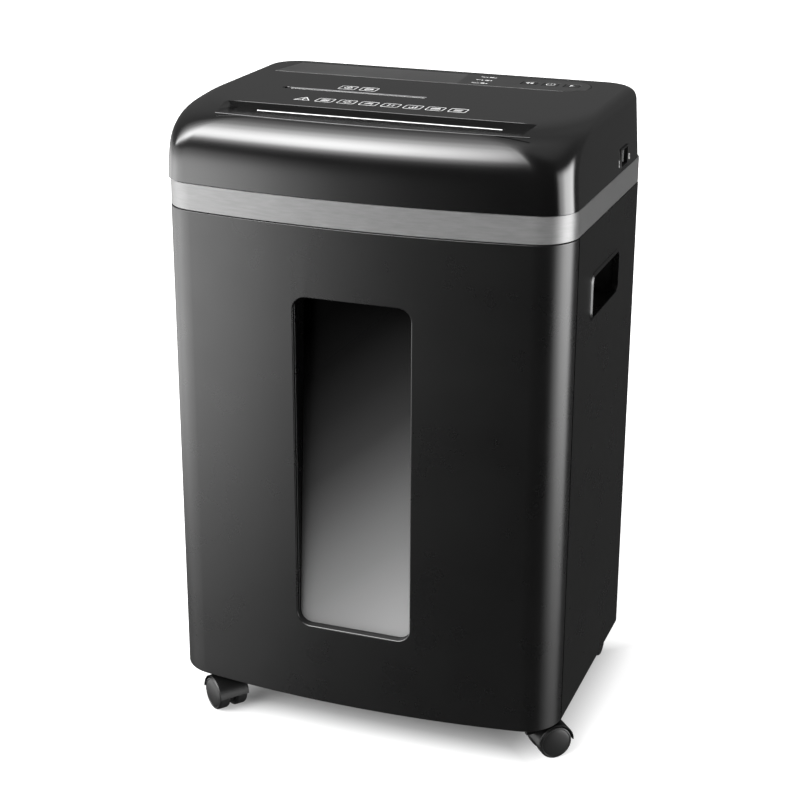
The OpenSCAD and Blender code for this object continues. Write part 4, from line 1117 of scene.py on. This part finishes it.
def studio():
    """Pale floor, and a world with three soft panels: high in front, low at the left and upright at the right."""
    scene = bpy.context.scene
    scene.view_settings.view_transform = "Standard"
    world = bpy.data.worlds.new("studio")
    world.use_nodes = True
    scene.world = world
    tree = world.node_tree
    back = tree.nodes["Background"]

    def node(kind, **values):
        made = tree.nodes.new(kind)
        for key, value in values.items():
            made.inputs[key.replace("_", " ")].default_value = value
        return made

    def math_node(operation, a, b):
        made = tree.nodes.new("ShaderNodeMath")
        made.operation = operation
        for socket, value in zip(made.inputs, (a, b)):
            if isinstance(value, (int, float)):
                socket.default_value = value
            else:
                tree.links.new(value, socket)
        return made.outputs["Value"]

    def profile(value, points):
        """Smooth curve of strength against value, through (value, strength) points."""
        low, high = points[0][0], points[-1][0]
        span = node("ShaderNodeMapRange", From_Min=low, From_Max=high)
        tree.links.new(value, span.inputs["Value"])
        ramp = node("ShaderNodeValToRGB")
        ramp.color_ramp.interpolation = "EASE"
        ends = ramp.color_ramp.elements
        ends[0].position, ends[0].color = 0.0, (*grey(points[0][1]), 1)
        ends[1].position, ends[1].color = 1.0, (*grey(points[-1][1]), 1)
        for at, strength in points[1:-1]:
            ends.new((at - low) / (high - low)).color = (*grey(strength), 1)
        tree.links.new(span.outputs["Result"], ramp.inputs["Fac"])
        return ramp.outputs["Color"]

    def panel(strength, *profiles):
        total = strength
        for each in profiles:
            total = math_node("MULTIPLY", total, each)
        return total

    coords = node("ShaderNodeTexCoord")
    split = node("ShaderNodeSeparateXYZ")
    tree.links.new(coords.outputs["Generated"], split.inputs["Vector"])
    x, z = split.outputs["X"], split.outputs["Z"]
    ahead = math_node("MULTIPLY", split.outputs["Y"], -1.0)
    degrees = 180 / math.pi
    climb = math_node("MULTIPLY", math_node("ARCTAN2", z, ahead), degrees)
    azimuth = math_node("MULTIPLY", math_node("ARCTAN2", x, ahead), degrees)

    ambient = panel(1.0, profile(z, [(-0.5, 0.05), (-0.2, 0.07), (0.1, 0.1), (0.6, 0.14), (1.0, 0.4)]),
                    profile(ahead, [(-1, 1), (0, 0.9), (0.6, 0.35), (1, 0.35)]))
    front_box = panel(13.5, profile(climb, [(2, 0), (10, 0.02), (18, 0.2), (28, 0.85), (36, 1), (44, 0.93),
                                            (52, 0.75), (66, 0.42), (85, 0.15), (105, 0.04), (120, 0)]),
                      profile(x, [(-0.98, 0.5), (-0.8, 0.85), (-0.6, 0.9), (-0.4, 1), (-0.3, 0.95), (-0.2, 0.78),
                                  (-0.1, 0.6), (-0.04, 0.4), (0.02, 0.12), (0.08, 0)]))
    left_box = panel(3.4, profile(azimuth, [(-150, 0), (-110, 0.5), (-80, 1), (-45, 1), (-36, 0.65), (-30, 0.33),
                                            (-22, 0.11), (-12, 0.03), (0, 0)]),
                     profile(z, [(-0.6, 0), (-0.46, 0.03), (-0.4, 0.18), (-0.33, 1.05), (-0.22, 1), (-0.1, 0.35),
                                 (0, 0.03), (0.2, 0)]))
    right_box = panel(6.5, profile(azimuth, [(60, 0), (75, 0.45), (92, 1), (116, 1), (128, 0)]),
                      profile(z, [(-0.5, 0.03), (-0.42, 0.12), (-0.34, 0.5), (-0.2, 1), (0.1, 1), (0.4, 0)]))
    total = math_node("ADD", math_node("ADD", ambient, front_box), math_node("ADD", left_box, right_box))
    path = node("ShaderNodeLightPath")
    seen = math_node("MAXIMUM", total, path.outputs["Is Camera Ray"])
    tree.links.new(seen, back.inputs["Strength"])
    back.inputs["Color"].default_value = (1, 1, 1, 1)

    floor = mesh_object("floor", [(-9, -9, 0), (9, -9, 0), (9, 9, 0), (-9, 9, 0)], [(0, 1, 2, 3)])
    m = Nodes("floor_paper")
    m.colour(m.ramp(m.noise(3.0), [(0.3, grey(0.5)), (0.7, grey(0.54))]))
    m.rough(m.spread(m.noise(8.0), 0.9, 1.0))
    m.shader.inputs["Specular IOR Level"].default_value = 0.1
    # Painted light: the paper glows away from the footprint and the glow fades in towards it, so the floor round the
    # base is painted darker on top of its real contact shadow
    size = m.tree.nodes.new("ShaderNodeVectorMath")
    size.operation = "ABSOLUTE"
    m.wire(m.coords.outputs["Object"], size.inputs[0])
    reach = m.tree.nodes.new("ShaderNodeSeparateXYZ")
    m.wire(size.outputs["Vector"], reach.inputs["Vector"])
    sides = [m.spread(reach.outputs[axis], -0.1, 0.1, half - 0.1, half + 0.1)
             for axis, half in (("X", HALF_W), ("Y", HALF_D))]
    outside = m.tree.nodes.new("ShaderNodeMath")
    outside.operation = "MAXIMUM"
    m.wire(sides[0], outside.inputs[0])
    m.wire(sides[1], outside.inputs[1])
    glow = m.ramp(m.spread(outside.outputs["Value"], 0.0, 1.0, -0.09, 0.05),
                  [(0.0, grey(0.0)), (0.3, grey(0.12)), (0.5, grey(0.4)), (0.75, grey(0.85)), (1.0, grey(1.0))])
    m.wire(glow, m.shader.inputs["Emission Color"])
    m.shader.inputs["Emission Strength"].default_value = 1.0
    floor.data.materials.append(m.material)
    floor.visible_glossy = False


camera()
head_cover()
# Pale metal strip along the paper slot's front edge: partly a trim, partly a painted highlight of the slot's lip
edge_strip("slot_edge_strip", "slot_lip_painted_highlight", (SLOT_X0, SLOT_X1), SLOT_Y0, tray_floor(SLOT_Y0), 0.6 * MM)
edge_strip("disc_edge_strip", "silver", (DISC_X0 + 5 * MM, DISC_X1), DISC_Y0, TOP, 0.25 * MM)
tray_bead()
trim_band()
control_strip()
lenses()
feed_symbols()
for key_name, key_x in KEY_X.items():
    key_cap(key_name, key_x)
switch()
bin_front()
pane()
side_panels()
back_wall()
gland()
tub()
disc_tray()
casters()
mechanism()
studio()
